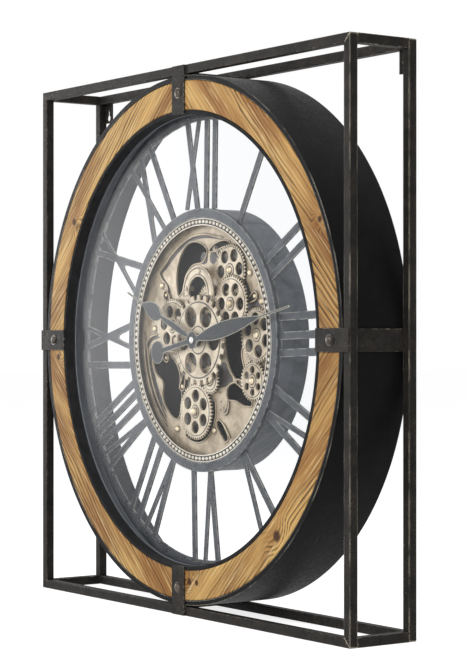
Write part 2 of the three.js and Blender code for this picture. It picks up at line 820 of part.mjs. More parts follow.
// Floor plate that carries the arbors, with its cut-outs and raised work
function addFloor() {
  const wheels = [
    leftWheel, lowerIdler, lowerWheel, upperIdler, upperWheel, rightWheel, smallWheel, topWheel,
  ];
  const bearing = arborRadius + running;
  const [openingX, openingZ, openingRadius] = scaled(archOpening.x, archOpening.z, archOpening.radius);
  const [haloX, haloZ, haloOuter, haloInner] = scaled(halo.x, halo.z, halo.outer, halo.inner);
  const holes = [
    circlePoints(bushRadius + fit, smallSteps),
    circlePoints(openingRadius, 2 * smallSteps, openingX, openingZ),
    bandOutline(haloOuter, haloInner, halo.from, halo.to, haloX, haloZ),
    ...cutOuts.map(smoothOutline),
    ...wheels.map(({ x, z }) => circlePoints(bearing, arborSteps, x, z)),
  ];
  const floor = plate(circlePoints(housingBore - fit, roundSteps), floorThickness, holes);
  const pieces = [
    floor,
    ...floorScrews.map((place) => screwHead(...scaled(...place))),
    ...floorLevers.map(leverPlate),
    ...ribs.map(floorRib),
  ];
  addPiece('gear_plate', joined(pieces), 'gold', { depth: floorDepth });
}

// Ring with an overhanging front flange that the beads sit on
function addBeadRing() {
  addPiece('bead_ring', turned([
    [beadRingRadius, beadRingDepth],
    [beadRingRadius, floorDepth],
    [beadRingRadius - beadRingWall, floorDepth],
    [beadRingRadius - beadRingWall, beadRingDepth + beadRingThickness],
    [beadRingRadius - beadRingWidth, beadRingDepth + beadRingThickness],
    [beadRingRadius - beadRingWidth, beadRingDepth],
  ], roundSteps), 'gold');
}

// Arch on two pillars that stand on the floor
function addArchBridge() {
  const [x, z, outer, inner] = scaled(archX, archZ, archOuterRadius, archInnerRadius);
  const outline = [
    ...arcPoints(outer, -archHalfAngle, archHalfAngle, 2 * arcSteps, x, z),
    ...arcPoints(inner, archHalfAngle, -archHalfAngle, 2 * arcSteps, x, z),
  ];
  const pieces = [plate(outline, archThickness)];
  for (const angle of archLegAngles) {
    const foot = onCircle((outer + inner) / 2, angle, x, z);
    const start = archThickness / 2;
    const pillar = discPlate(archFoot, floorDepth - archDepth - start, smallSteps, foot.x, foot.y);
    pieces.push(pillar.translate(0, start, 0));
  }
  addPiece('arch_bridge', joined(pieces), 'gold', { depth: archDepth });
}

// Half outline of a leaf between two distances from the hub, widest at a share of its length
function leafPoints(start, end, half, neck, widest) {
  const points = [];
  const bend = Math.log(0.5) / Math.log(widest);
  for (let i = 1; i < leafSteps; i += 1) {
    const f = i / leafSteps;
    const swell = Math.sin(Math.PI * f ** bend);
    points.push([neck + (half - neck) * swell, start + (end - start) * f]);
  }
  return points;
}

function mirrored(half) {
  const right = half.map(([u, v]) => new THREE.Vector2(u, v));
  const left = half.filter(([u]) => u > 0).map(([u, v]) => new THREE.Vector2(-u, v)).reverse();
  return right.concat(left);
}

function hubArc(radius, from, to, v = 0) {
  return arcPoints(radius, from, to, leafSteps, 0, v).map((point) => [point.x, point.y]);
}

function minuteHandOutline() {
  const disc = Math.asin(handBarHalf / tailDiscRadius);
  const hub = Math.asin(handBarHalf / minuteHubRadius);
  const half = [
    [0, -tailLength - tailDiscRadius],
    ...hubArc(tailDiscRadius, Math.PI, disc, -tailLength).slice(1),
    ...hubArc(minuteHubRadius, Math.PI - hub, hub),
    ...leafPoints(minuteHubRadius, minuteLeafEnd, minuteLeafHalf, minuteLeafNeck, minuteLeafWidest),
    [handTipHalf, minuteLeafEnd],
    [handTipHalf, minuteLength],
  ];
  return mirrored(half);
}

function hourHandOutline() {
  const hub = Math.asin(hourNeckHalf / hourHubRadius);
  const half = [
    [0, -hourHubRadius],
    ...hubArc(hourHubRadius, Math.PI, hub).slice(1),
    ...leafPoints(hourHubRadius, hourStemEnd, hourStemHalf, hourNeckHalf, hourStemWidest),
    [hourNeckHalf, hourStemEnd],
    ...leafPoints(hourStemEnd, hourSpadeEnd, hourSpadeHalf, hourSpadeNeck, hourSpadeWidest),
    [handTipHalf, hourSpadeEnd],
    [handTipHalf, hourLength],
  ];
  return mirrored(half);
}

function addHands() {
  const arborBore = minuteArborRadius + running;
  const bore = circlePoints(arborBore, smallSteps);
  const minute = plate(minuteHandOutline(), handThickness, [bore]);
  addPiece('minute_hand', minute, 'dial', { depth: minuteHandDepth, turn: minuteClockAngle });
  const hour = plate(hourHandOutline(), handThickness, [bore]);
  const pipe = plate(circlePoints(pipeRadius, smallSteps), pipeEnd - hourHandDepth, [bore]);
  addPiece('hour_hand', joined([hour, pipe]), 'dial', { depth: hourHandDepth, turn: hourClockAngle });
  const boreFront = minuteHandDepth - nutBoreDepth;
  addPiece('hand_nut', turned([
    ...domeProfile(nutRadius, nutDepth, nutDepth + nutDome),
    [nutRadius, nutDepth + nutDome],
    [nutRadius, minuteHandDepth],
    [arborBore, minuteHandDepth],
    [arborBore, boreFront],
    [0, boreFront],
  ], smallSteps), 'gold');
  const collarDepth = minuteHandDepth + handThickness;
  addPiece('minute_arbor', turned([
    [0, boreFront + fit],
    [minuteArborRadius, boreFront + fit],
    [minuteArborRadius, collarDepth],
    [collarRadius, collarDepth],
    [collarRadius, collarDepth + collarThickness],
    [minuteArborRadius, collarDepth + collarThickness],
    [minuteArborRadius, minuteArborEnd],
    [0, minuteArborEnd],
  ], smallSteps), 'zinc');
}

// Back plate of the gear module, pierced for the bush and the driven arbor
function addModuleBack() {
  const holes = [
    circlePoints(bushRadius + fit, smallSteps),
    circlePoints(arborRadius + running, smallSteps, lowerWheel.x, lowerWheel.z),
  ];
  const outline = circlePoints(housingBore - housingCollar - fit, roundSteps);
  addPiece('module_back', plate(outline, sheet, holes), 'dial', { depth: backPlateDepth });
}

// A shallow bay for one cell, open to the rear
function bayTool(x, z) {
  const tool = plate(rectangle(bayLength + 2 * fit, bayWidth, x, z), bayDepth + overcut);
  return tool.translate(0, caseThickness - bayDepth, 0);
}

function addCell(name, x, z) {
  const body = turned([
    [0, -cellLength / 2],
    [cellRadius, -cellLength / 2],
    [cellRadius, cellLength / 2],
    [cellButtonRadius, cellLength / 2],
    [cellButtonRadius, cellLength / 2 + cellButtonLength],
    [0, cellLength / 2 + cellButtonLength],
  ], smallSteps);
  const seat = caseEnd - bayDepth + fit + cellRadius;
  addPiece(name, body.rotateZ(-Math.PI / 2), 'zinc', { x: x - cellButtonLength / 2, z, depth: seat });
}

// Quartz movement whose long bush carries the centre wheel
function addMovement() {
  const body = plate(roundedRectangle(movementSide, movementSide, caseCorner), caseThickness);
  const bush = discPlate(bushRadius, caseDepth + sheet - bushFront, smallSteps);
  const flange = discPlate(bushFlangeRadius, bushFlangeThickness, 6);
  const flangeDepth = crownDepth - running - bushFlangeThickness;
  const whole = joined([
    body,
    bush.translate(0, bushFront - caseDepth, 0),
    flange.translate(0, flangeDepth - caseDepth, 0),
  ]);
  const boreEnd = minuteArborEnd + running;
  const bore = discPlate(bushBore, boreEnd - bushFront + overcut, smallSteps);
  const knobHole = discPlate(knobShankRadius + running, knobShankLength + overcut, smallSteps, 0, knobRise);
  addPiece('movement', cut(whole, [
    bore.translate(0, bushFront - caseDepth - overcut, 0),
    bayTool(0, -movementBayDrop),
    knobHole.translate(0, caseThickness - knobShankLength, 0),
  ]), 'plastic', { depth: caseDepth });
  addCell('movement_cell', 0, -movementBayDrop);
  addPiece('setting_knob', turned([
    [0, -knobShankLength + fit],
    [knobShankRadius, -knobShankLength + fit],
    [knobShankRadius, running],
    [knobRadius, running],
    [knobRadius, running + knobHeight],
    [0, running + knobHeight],
  ], smallSteps), 'plastic', { z: knobRise, depth: caseEnd });
}

// Geared motor drive that turns the lower wheel's arbor, with its cells and slide switch
function addDrive() {
  const { x } = lowerWheel;
  const z = lowerWheel.z + driveRise;
  const body = plate(roundedRectangle(driveWidth, driveHeight, caseCorner), caseThickness);
  const arborHole = discPlate(arborRadius + running, arborTail + fit + overcut, smallSteps, 0, -driveRise);
  const slotOutline = rectangle(switchSlotLength, switchSlotWidth, 0, -driveRise - switchDrop);
  const slot = plate(slotOutline, switchSlotDepth + overcut);
  const bays = driveBayRises.map((rise) => bayTool(0, rise));
  addPiece('gear_drive', cut(body, [
    arborHole.translate(0, -overcut, 0),
    slot.translate(0, caseThickness - switchSlotDepth, 0),
    ...bays,
  ]), 'plastic', { x, z, depth: caseDepth });
  driveBayRises.forEach((rise, i) => addCell(`drive_cell_${i + 1}`, x, z + rise));
  const handleHeight = switchSlotDepth - fit + switchHandle;
  const slider = plate(rectangle(switchLength, switchSlotWidth - 2 * running), handleHeight);
  addPiece('drive_switch', slider, 'plastic', {
    x: x - switchTravel / 2, z: z - driveRise - switchDrop, depth: caseEnd - switchSlotDepth + fit,
  });
}

addFrame();
addSidePlates();
addHangers();
addDrum();
addBezelTray();
addGlass();
addWoodRing();
addStraps();
addDial();
addHousing();
addModuleBack();
addFloor();
addBeadRing();
addCentreWheel();
addTrain();
addArchBridge();
addHands();
addMovement();
addDrive();

export default clock;
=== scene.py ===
import math

import bmesh
import bpy
from mathutils import Matrix, Vector
from mathutils.geometry import delaunay_2d_cdt


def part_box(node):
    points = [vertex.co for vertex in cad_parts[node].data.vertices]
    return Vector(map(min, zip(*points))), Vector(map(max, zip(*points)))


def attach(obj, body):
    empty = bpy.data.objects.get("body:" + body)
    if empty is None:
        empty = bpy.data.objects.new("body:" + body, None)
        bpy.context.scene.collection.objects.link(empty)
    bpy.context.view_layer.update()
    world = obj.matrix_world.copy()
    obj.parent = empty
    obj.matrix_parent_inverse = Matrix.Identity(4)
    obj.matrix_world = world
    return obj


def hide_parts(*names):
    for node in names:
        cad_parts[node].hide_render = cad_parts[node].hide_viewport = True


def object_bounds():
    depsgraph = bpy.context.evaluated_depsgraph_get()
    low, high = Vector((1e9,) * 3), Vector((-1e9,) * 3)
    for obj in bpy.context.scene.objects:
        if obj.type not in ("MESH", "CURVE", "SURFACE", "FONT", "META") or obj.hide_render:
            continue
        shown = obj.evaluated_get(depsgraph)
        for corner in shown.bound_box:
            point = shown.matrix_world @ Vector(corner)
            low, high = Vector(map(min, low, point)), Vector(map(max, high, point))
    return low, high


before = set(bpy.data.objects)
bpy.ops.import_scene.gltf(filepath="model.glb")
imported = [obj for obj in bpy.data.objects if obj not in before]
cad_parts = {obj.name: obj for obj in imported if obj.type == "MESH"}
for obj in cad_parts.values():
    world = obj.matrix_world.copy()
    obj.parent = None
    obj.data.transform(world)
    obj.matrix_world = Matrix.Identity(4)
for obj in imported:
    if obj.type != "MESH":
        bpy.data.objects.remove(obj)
cad_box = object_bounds()

MM = 0.001
HALF_SIDE = (cad_box[1].x - cad_box[0].x) / 2 / MM
FRONT_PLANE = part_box("front_bar_top")[0].y / MM
TO_ROW = Matrix.Translation((0, FRONT_PLANE * MM, HALF_SIDE * MM)) @ Matrix.Scale(MM, 4)

# Screws of the straps
STRAP_FRONT = -2
WASHER_RADIUS = 6
SCREW_RADIUS = 4.6
SCREW_DOME = 2.4
SCREW_FRONT = -5
SHANK_RADIUS = 2
SHANK_END = 10.7

# Drum, bezel, glass and wood
SHEET = 1.25
DRUM_RADIUS = 288.75
DRUM_DEPTH = 85
DRUM_RIM = 5.5
DRUM_STEPS = 256
TAB_WIDTH = 16
TAB_REACH = 12
WOOD_OUTER = 282.95
WOOD_INNER = 250.8
WOOD_THICKNESS = 11
WOOD_ROUNDING = 1.6
# Half the gap between quarters in degrees, and how far the grain moves on from board to board in metres
WOOD_GAP = 0.06
BOARD_SHIFT = 0.37
BEZEL_LIP = 250.5
BEZEL_BORE = 246.5
GLASS_RADIUS = 256
GLASS_DEPTH = 12.25
GLASS_BACK = GLASS_DEPTH + 2
RETAINER_OUTER = 265
SPACER_BORE = 257

# Dial
DIAL_RADIUS = 287.2
OUTER_RING = 45
RING_BORE = DIAL_RADIUS - OUTER_RING
DIAL_DEPTH = 31
DIAL_THICKNESS = 1.5
DIAL_BACK = DIAL_DEPTH + DIAL_THICKNESS
INNER_RING = 10.4
NUMERAL_DEPTH = 29.5
NUMERAL_THICKNESS = 2.25
NUMERAL_INNER = 144
NUMERAL_OUTER = RING_BORE + 3
NUMERAL_FILLET = 4.5
INNER_RING_DEPTH = 26
BROAD_STROKE = 8.5
FINE_STROKE = 6.2
# From twelve on: lean past the hour in degrees, then letters with offset and half widths at foot and head
NUMERALS = [
    (1.1, [("X", -22.3, 10.6, 11.9), ("I", 5.2), ("I", 20.9)]),
    (0, [("I", -2.3)]),
    (-1, [("I", -9.8), ("I", 9.8)]),
    (-1.8, [("I", -19.7), ("I", 0.3), ("I", 18.3)]),
    (-4.1, [("I", -14.4), ("V", 15.8, -1.5, -13)]),
    (-1.9, [("V", -3.1, 1.5, 17.6)]),
    (-1.4, [("V", -12.6, 0.7, 12.7), ("I", 19.9)]),
    (-0.3, [("V", -16.5, 0.5, 10.3), ("I", 11), ("I", 29.5)]),
    (-0.5, [("V", -21.3, 0.5, 9.3), ("I", 0.7), ("I", 15.2), ("I", 28.7)]),
    (-0.4, [("I", -28), ("X", 5.2, 13.2, 11.5)]),
    (-1.8, [("X", 0, 17.5, 12.8)]),
    (-0.2, [("X", -14.3, -13, -12), ("I", 19.3)]),
]

# Gear module
HOUSING_RADIUS = 145
HOUSING_STEP = 0.75
HOUSING_END = 69
LEDGE_BORE = 138
MODULE_STEPS = 192
FLOOR_DEPTH = 35.25
FLOOR_THICKNESS = 1.5
FLOOR_BACK = FLOOR_DEPTH + FLOOR_THICKNESS
BACK_DEPTH = 50
BACK_SCREW = 3.2
BEAD_RING_DEPTH = 27.5
BEAD_RING_RADIUS = 134.3
BEAD_RING_INNER = 126.3
RING_STEPS = 240
BEAD_CIRCLE = 130.4
BEAD_RADIUS = 2.4
BEAD_DOME = 1.9
BEAD_COUNT = 120

# Gear train
MODULE = 1.27
ADDENDUM = 0.8 * MODULE
DEDENDUM = 1.15 * MODULE
PRESSURE_ANGLE = 20
BACKLASH = 0.22
GEAR_DEPTH = 29.75
GEAR_THICKNESS = 2.5
DEEP_DEPTH = 32.75
DEEP_THICKNESS = 2
HUB_RADIUS = 4.5
ARBOR_RADIUS = 2
BEARING_RADIUS = ARBOR_RADIUS + 0.3
COLLAR_RADIUS = 6.6
RIVET_RADIUS = 3.9
RIM_WIDTH = 2.5
WEB_STEP = 0.4
DRIVEN_ARBOR_END = 55.25
PINION_TEETH = 14
TOP_ANGLE = 351.9
WINDOW_COUNT = 6
CROWN_DEPTH = 24.75
CROWN_THICKNESS = 2.75
CROWN_TEETH = 24
CROWN_TIP = 50
CROWN_ROOT = 44.5
# Half widths of a tooth at its root and tip, as shares of the pitch
ROOT_SHARE = 0.29
TIP_SHARE = 0.22
CROWN_WEB = 41.2
CROWN_COLLAR = 14.5
CROWN_HUB = 12
CROWN_WINDOW = 11.5
CROWN_WINDOW_CIRCLE = 29
CENTRE_BORE = 4.3
ARCH_DEPTH = 25.5
ARCH_CENTRE = (-2, 52)
ARCH_OUTER = 30
ARCH_INNER = 18
# Clock angles about the arch's centre: where it ends to either side, and where its feet are
ARCH_SPAN = 97
ARCH_FEET = (-77.35, 5.73)
FOOT_RADIUS = 3
FOOT_SCREW = 2.6

# Hands
MINUTE_DEPTH = 16.5
HOUR_DEPTH = 18.25
HAND_THICKNESS = 1.25
MINUTE_ANGLE = 79
HOUR_ANGLE = 292
ARBOR_BORE = 1.8
PIPE_RADIUS = 2.6
PIPE_END = 56
NUT_RADIUS = 3.8
NUT_DEPTH = 14.75
SPINDLE_RADIUS = 1.5
FLANGE_RADIUS = 3
SPINDLE_END = 58
# Outlines of the hands: radii and distances from the hub, with necks and tips as half widths
MINUTE_HUB = 10
MINUTE_NECK = 3
MINUTE_LEAF_END = 128
MINUTE_LENGTH = 182
COUNTER_RADIUS = 13
COUNTER_RISE = -71
HOUR_HUB = 9
HOUR_NECK = 2
HOUR_WAIST = 70
HOUR_LEAF_END = 113
HOUR_LENGTH = 147
TIP_HALF = 1.2

# Setting knob and cells
KNOB_RADIUS = 8
KNOB_THICKNESS = 3.5
KNOB_SHANK = 2
CELL_BUTTON = 2.7
CELL_BASE = 5
# Share of a cell's length at which its copper band starts
BAND_START = 0.74


# Outlines are lists of (x, rise) points
def polar(radius, angle, centre=(0, 0)):
    turn = math.radians(angle)
    return (centre[0] + radius * math.sin(turn), centre[1] + radius * math.cos(turn))


def arc(radius, start, end, steps, centre=(0, 0)):
    return [polar(radius, start + (end - start) * i / steps, centre) for i in range(steps + 1)]


def circle(radius, steps=48, centre=(0, 0)):
    return arc(radius, 0, 360, steps, centre)[1:]


def band(outer, inner, start, end, steps=32, centre=(0, 0)):
    return arc(outer, start, end, steps, centre) + arc(inner, end, start, steps, centre)


def turned_by(outline, angle):
    turn = math.radians(angle)
    c, s = math.cos(turn), math.sin(turn)
    return [(x * c + rise * s, rise * c - x * s) for x, rise in outline]


def signed_area(outline):
    pairs = zip(outline, outline[1:] + outline[:1])
    return sum(a[0] * b[1] - b[0] * a[1] for a, b in pairs) / 2


def bend_at(outline, i):
    """Turn of a closed outline at one of its points, in degrees."""
    here = Vector(outline[i])
    a, b = here - Vector(outline[i - 1]), Vector(outline[(i + 1) % len(outline)]) - here
    return math.degrees(math.atan2(a.x * b.y - a.y * b.x, a.x * b.x + a.y * b.y))


def rounded(outline, radius, steps=3, inward_only=False, least_bend=20):
    """The outline with its corners, or only its inward ones, taken off by short curves."""
    sign = 1 if signed_area(outline) > 0 else -1
    result = []
    for i, point in enumerate(outline):
        here = Vector(point)
        back = Vector(outline[i - 1]) - here
        ahead = Vector(outline[(i + 1) % len(outline)]) - here
        bend = bend_at(outline, i) * sign
        if abs(bend) < least_bend or (inward_only and bend > 0):
            result.append(point)
            continue
        reach = radius * math.tan(math.radians(abs(bend)) / 2)
        reach = min(reach, 0.45 * back.length, 0.45 * ahead.length)
        start = here + back.normalized() * reach
        end = here + ahead.normalized() * reach
        for k in range(steps + 1):
            f = k / steps
            result.append(tuple((1 - f) ** 2 * start + 2 * f * (1 - f) * here + f * f * end))
    return result


def merged(shapes, least_bend=0.5):
    """Outlines round the union of overlapping shapes, without points on straight runs."""
    points, faces = [], []
    for shape in shapes:
        shape = shape if signed_area(shape) > 0 else shape[::-1]
        faces.append(list(range(len(points), len(points) + len(shape))))
        points += [Vector(p) for p in shape]
    corners, _, cells, _, _, owners = delaunay_2d_cdt(points, [], faces, 1, 1e-4)
    sides = set()
    for cell, owner in zip(cells, owners):
        if owner:
            sides |= {(cell[i - 1], cell[i]) for i in range(len(cell))}
    following = {a: b for a, b in sides if (b, a) not in sides}
    loops = []
    while following:
        first, here = following.popitem()
        loop = [first]
        while here != first and here in following:
            loop.append(here)
            here = following.pop(here)
        loops.append([tuple(corners[i]) for i in loop])
    loops = [loop for loop in loops if len(loop) > 2]
    return [[point for i, point in enumerate(loop) if abs(bend_at(loop, i)) > least_bend] for loop in loops]


def flowing(corners, steps=7, closed=True):
    """A curve through the corners, a centripetal Catmull-Rom spline."""
    result = []
    corners = [Vector(corner) for corner in corners]
    if not closed:
        corners = [2 * corners[0] - corners[1]] + corners + [2 * corners[-1] - corners[-2]]
    count = len(corners)
    for i in range(count) if closed else range(1, count - 2):
        p = [corners[(i + k) % count] for k in (-1, 0, 1, 2)]
        gap = [math.sqrt((p[k + 1] - p[k]).length) for k in range(3)]
        start = (p[1] - p[0]) / gap[0] - (p[2] - p[0]) / (gap[0] + gap[1]) + (p[2] - p[1]) / gap[1]
        end = (p[2] - p[1]) / gap[1] - (p[3] - p[1]) / (gap[1] + gap[2]) + (p[3] - p[2]) / gap[2]
        start, end = start * gap[1], end * gap[1]
        for k in range(steps):
            f = k / steps
            place = (2 * f**3 - 3 * f**2 + 1) * p[1] + (f**3 - 2 * f**2 + f) * start
            place += (3 * f**2 - 2 * f**3) * p[2] + (f**3 - f**2) * end
            result.append(tuple(place))
    return result


def ribbon(path, width, end_share=0.15):
    """Outline of a strip along an open path, thinner toward its ends."""
    path = flowing(path, 6, closed=False)
    sides = ([], [])
    for i, point in enumerate(path):
        along = (Vector(path[min(i + 1, len(path) - 1)]) - Vector(path[max(i - 1, 0)])).normalized()
        f = i / (len(path) - 1)
        half = width / 2 * (end_share + (1 - end_share) * min(1, 5 * f, 5 * (1 - f)))
        for side, sign in zip(sides, (1, -1)):
            side.append((point[0] - sign * half * along.y, point[1] + sign * half * along.x))
    return sides[0] + sides[1][::-1]


def grown(outline, distance):
    """The outline moved outward by a distance, or inward if it is negative."""
    sign = 1 if signed_area(outline) > 0 else -1
    result = []
    for i, point in enumerate(outline):
        along = (Vector(outline[(i + 1) % len(outline)]) - Vector(outline[i - 1])).normalized()
        result.append((point[0] + sign * distance * along.y, point[1] - sign * distance * along.x))
    return result


# Meshes in clock millimetres
def plate(loops, front, thickness, edge=0.3, rounds=1):
    """A flat plate with softened edges whose front face is at the depth front."""
    curve = bpy.data.curves.new("outline", "CURVE")
    curve.dimensions = "2D"
    curve.fill_mode = "BOTH"
    curve.extrude = thickness / 2 - edge
    curve.bevel_depth = edge
    curve.offset = -edge
    curve.bevel_resolution = rounds
    for loop in loops:
        spline = curve.splines.new("POLY")
        spline.points.add(len(loop) - 1)
        for point, (x, rise) in zip(spline.points, loop):
            point.co = (x, rise, 0, 1)
        spline.use_cyclic_u = True
    holder = bpy.data.objects.new("outline", curve)
    mesh = bpy.data.meshes.new_from_object(holder)
    bpy.data.objects.remove(holder)
    bpy.data.curves.remove(curve)
    middle = front + thickness / 2
    mesh.transform(Matrix(((1, 0, 0, 0), (0, 0, -1, middle), (0, 1, 0, 0), (0, 0, 0, 1))))
    return mesh


def turned(profile, steps=96, centre=(0, 0), start=0, end=360):
    """A body turned about a line along the depth from a closed profile of (radius, depth)."""
    body = bmesh.new()
    whole = end - start == 360
    count = steps if whole else steps + 1
    rings = []
    for i in range(count):
        angle = start + (end - start) * i / steps
        places = [(polar(radius, angle, centre), depth) for radius, depth in profile]
        rings.append([body.verts.new((p[0], depth, p[1])) for p, depth in places])
    for i in range(count if whole else count - 1):
        here, there = rings[i], rings[(i + 1) % count]
        for j in range(len(profile)):
            if profile[j - 1][0] or profile[j][0]:
                body.faces.new((here[j - 1], here[j], there[j], there[j - 1]))
    if not whole:
        body.faces.new(rings[0])
        body.faces.new(rings[-1])
    return mesh_of(body)


def section(inner, outer, front, back):
    return [(inner, front), (outer, front), (outer, back), (inner, back)]


def collar(inner, outer, front, back, edge, steps, centre=(0, 0)):
    """A turned ring, or a disc if its inner radius is 0, with edges rounded unless edge is 0."""
    profile = section(inner, outer, front, back)
    return turned(rounded(profile, edge) if edge else profile, steps, centre)


def mesh_of(body):
    """The mesh with double points joined and its faces turned outward."""
    bmesh.ops.remove_doubles(body, verts=body.verts, dist=1e-3)
    bmesh.ops.dissolve_degenerate(body, edges=body.edges, dist=1e-4)
    bmesh.ops.recalc_face_normals(body, faces=body.faces)
    mesh = bpy.data.meshes.new("mesh")
    body.to_mesh(mesh)
    body.free()
    return mesh


def together(meshes):
    """One mesh of several."""
    body = bmesh.new()
    for mesh in meshes:
        body.from_mesh(mesh)
        bpy.data.meshes.remove(mesh)
    return mesh_of(body)


def moved(mesh, x=0, depth=0, rise=0):
    mesh.transform(Matrix.Translation((x, depth, rise)))
    return mesh


def piece(name, meshes, material, stands_for=None, body="case", sharp=35):
    """Places meshes made in clock millimetres as one piece that moves with its body."""
    mesh = together(meshes)
    mesh.name = name
    mesh.transform(TO_ROW)
    mesh.shade_smooth()
    mesh.set_sharp_from_angle(angle=math.radians(sharp))
    mesh.materials.append(material)
    made = bpy.data.objects.new(name, mesh)
    bpy.context.scene.collection.objects.link(made)
    flat = made.modifiers.new("flat_faces", "WEIGHTED_NORMAL")
    flat.keep_sharp = True
    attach(made, body)
    if stands_for:
        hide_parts(stands_for)
    return made


def dome(radius, height, front, back, steps=6):
    """Profile of a domed head on a short cylinder."""
    turns = [math.radians(90 * i / steps) for i in range(steps + 1)]
    crown = [(radius * math.sin(turn), front + height * (1 - math.cos(turn))) for turn in turns]
    return crown + [(radius, back), (0, back)]


# Materials, with colours in the photo's own 0 to 255 values
def linear(shade):
    """The colour as the shader's sockets take it."""
    parts = [value / 255 for value in shade]
    return tuple(v / 12.92 if v <= 0.04045 else ((v + 0.055) / 1.055) ** 2.4 for v in parts) + (1,)


class Nodes:
    """A node tree with short calls for what materials and world share."""

    def __init__(self, tree):
        self.tree = tree

    def node(self, kind, inputs=None, **settings):
        made = self.tree.nodes.new("ShaderNode" + kind)
        for key, value in settings.items():
            setattr(made, key, value)
        for key, value in (inputs or {}).items():
            if isinstance(value, bpy.types.NodeSocket):
                self.tree.links.new(value, made.inputs[key])
            else:
                made.inputs[key].default_value = value
        return made

    def math(self, operation, a, b, c=0.0):
        return self.node("Math", {0: a, 1: b, 2: c}, operation=operation).outputs[0]

    def times(self, first, *others):
        """The product of sockets and numbers."""
        for value in others:
            first = self.math("MULTIPLY", first, value)
        return first

    def ramp(self, value, low, high, to_low=0, to_high=1):
        inputs = {0: value, 1: low, 2: high, 3: to_low, 4: to_high}
        return self.node("MapRange", inputs, interpolation_type="SMOOTHSTEP").outputs[0]

    def mix(self, factor, a, b, blend="MIX"):
        """A mix of two colours, each a socket or a shade."""
        a, b = (linear(shade) if isinstance(shade, tuple) else shade for shade in (a, b))
        return self.node("Mix", {0: factor, 6: a, 7: b}, data_type="RGBA", blend_type=blend).outputs[2]

    def sees_backdrop(self):
        """1 for rays of the camera, of mirrors and of glass, which are to meet a white background."""
        rays = self.node("LightPath").outputs
        bent = self.math("MAXIMUM", rays["Is Glossy Ray"], rays["Is Transmission Ray"])
        return self.math("MAXIMUM", rays["Is Camera Ray"], bent)


class Finish(Nodes):
    """A material, and short calls for the patterns that the finishes share."""

    def __init__(self, name, roughness, metallic, specular=0.5):
        self.material = bpy.data.materials.new(name)
        self.material.use_nodes = True
        super().__init__(self.material.node_tree)
        self.shader = self.tree.nodes["Principled BSDF"]
        self.shader.inputs["Roughness"].default_value = roughness
        self.shader.inputs["Metallic"].default_value = metallic
        self.shader.inputs["Specular IOR Level"].default_value = specular
        self.place = self.node("TexCoord").outputs["Object"]

    def set(self, name, value):
        self.tree.links.new(value, self.shader.inputs[name])

    def bump(self, height, strength, distance):
        inputs = {"Height": height, "Strength": strength, "Distance": distance * MM}
        self.set("Normal", self.node("Bump", inputs).outputs["Normal"])

    def scaled(self, scale, place):
        return self.node("Mapping", {"Vector": place, "Scale": scale}).outputs["Vector"]

    def noise(self, scale, detail=3, rough=0.5, place=None, distortion=0):
        """Noise of one scale, or of one for each axis."""
        place = place or self.place
        if isinstance(scale, tuple):
            place, scale = self.scaled(scale, place), 1
        inputs = {"Vector": place, "Scale": scale, "Detail": detail, "Roughness": rough,
                  "Distortion": distortion}
        return self.node("TexNoise", inputs).outputs["Fac"]

    def patches(self, scale, low, high, detail=3, rough=0.5, to_low=0, to_high=1, place=None,
                distortion=0):
        """Noise that rises from to_low to to_high where it goes from low to high."""
        return self.ramp(self.noise(scale, detail, rough, place, distortion), low, high, to_low, to_high)

    def edges(self, radius, low=0.02, high=0.2):
        """1 near the outward and inward edges of the piece, 0 on its flats."""
        bevel = self.node("Bevel", {"Radius": radius * MM}, samples=6)
        normal = self.node("NewGeometry").outputs["Normal"]
        vectors = {0: bevel.outputs[0], 1: normal}
        same = self.node("VectorMath", vectors, operation="DOT_PRODUCT").outputs["Value"]
        return self.ramp(self.math("SUBTRACT", 1.0, same), low, high)

    def recesses(self, distance, low=0.45, high=0.97):
        """1 in narrow places of the object, where ambient light is blocked, 0 on what stands free."""
        shade = self.node("AmbientOcclusion", {"Distance": distance * MM}, samples=6)
        return self.ramp(shade.outputs["AO"], high, low)

    def near(self, place, outer, inner, low=0.0, high=1.0):
        """A soft round spot at a place (x, rise) of the clock."""
        centre = TO_ROW @ Vector((place[0], 0, place[1]))
        offset = self.node("VectorMath", {0: self.place, 1: centre}, operation="SUBTRACT")
        flat = self.scaled((1, 0, 1), offset.outputs["Vector"])
        away = self.node("VectorMath", {0: flat}, operation="LENGTH").outputs["Value"]
        return self.ramp(away, outer * MM, inner * MM, low, high)


def worn_paint(name, base, light, edge, speckle, wear, edge_width, roughness=0.5, metallic=0.3,
               grain=0.25, specular=0.4):
    """Rubbed paint: mottled base, fine speckles and edges worn in patches."""
    finish = Finish(name, roughness, metallic, specular)
    mottled = finish.mix(finish.patches(55, 0.35, 0.7, 5, 0.65), base, light)
    specks = finish.patches(1300, 0.66, 0.78, 2, 0.6)
    specks = finish.times(specks, finish.patches(60, 0.4, 0.62, 3, 0.6), speckle)
    speckled = finish.mix(specks, mottled, edge)
    rubbed = finish.patches(240, 0.5 - wear, 0.6 - wear, 4, 0.75)
    rubbed = finish.times(rubbed, finish.patches(22, 0.42, 0.6, 3, 0.6, 0.12, 1))
    worn = finish.times(finish.edges(edge_width, 0.02, 0.07), rubbed)
    finish.set("Base Color", finish.mix(worn, speckled, edge))
    finish.set("Roughness", finish.patches(300, 0.2, 0.8, 3, 0.5, roughness - 0.1, roughness + 0.12))
    finish.bump(finish.noise(900, 3, 0.6), grain, 0.08)
    return finish.material


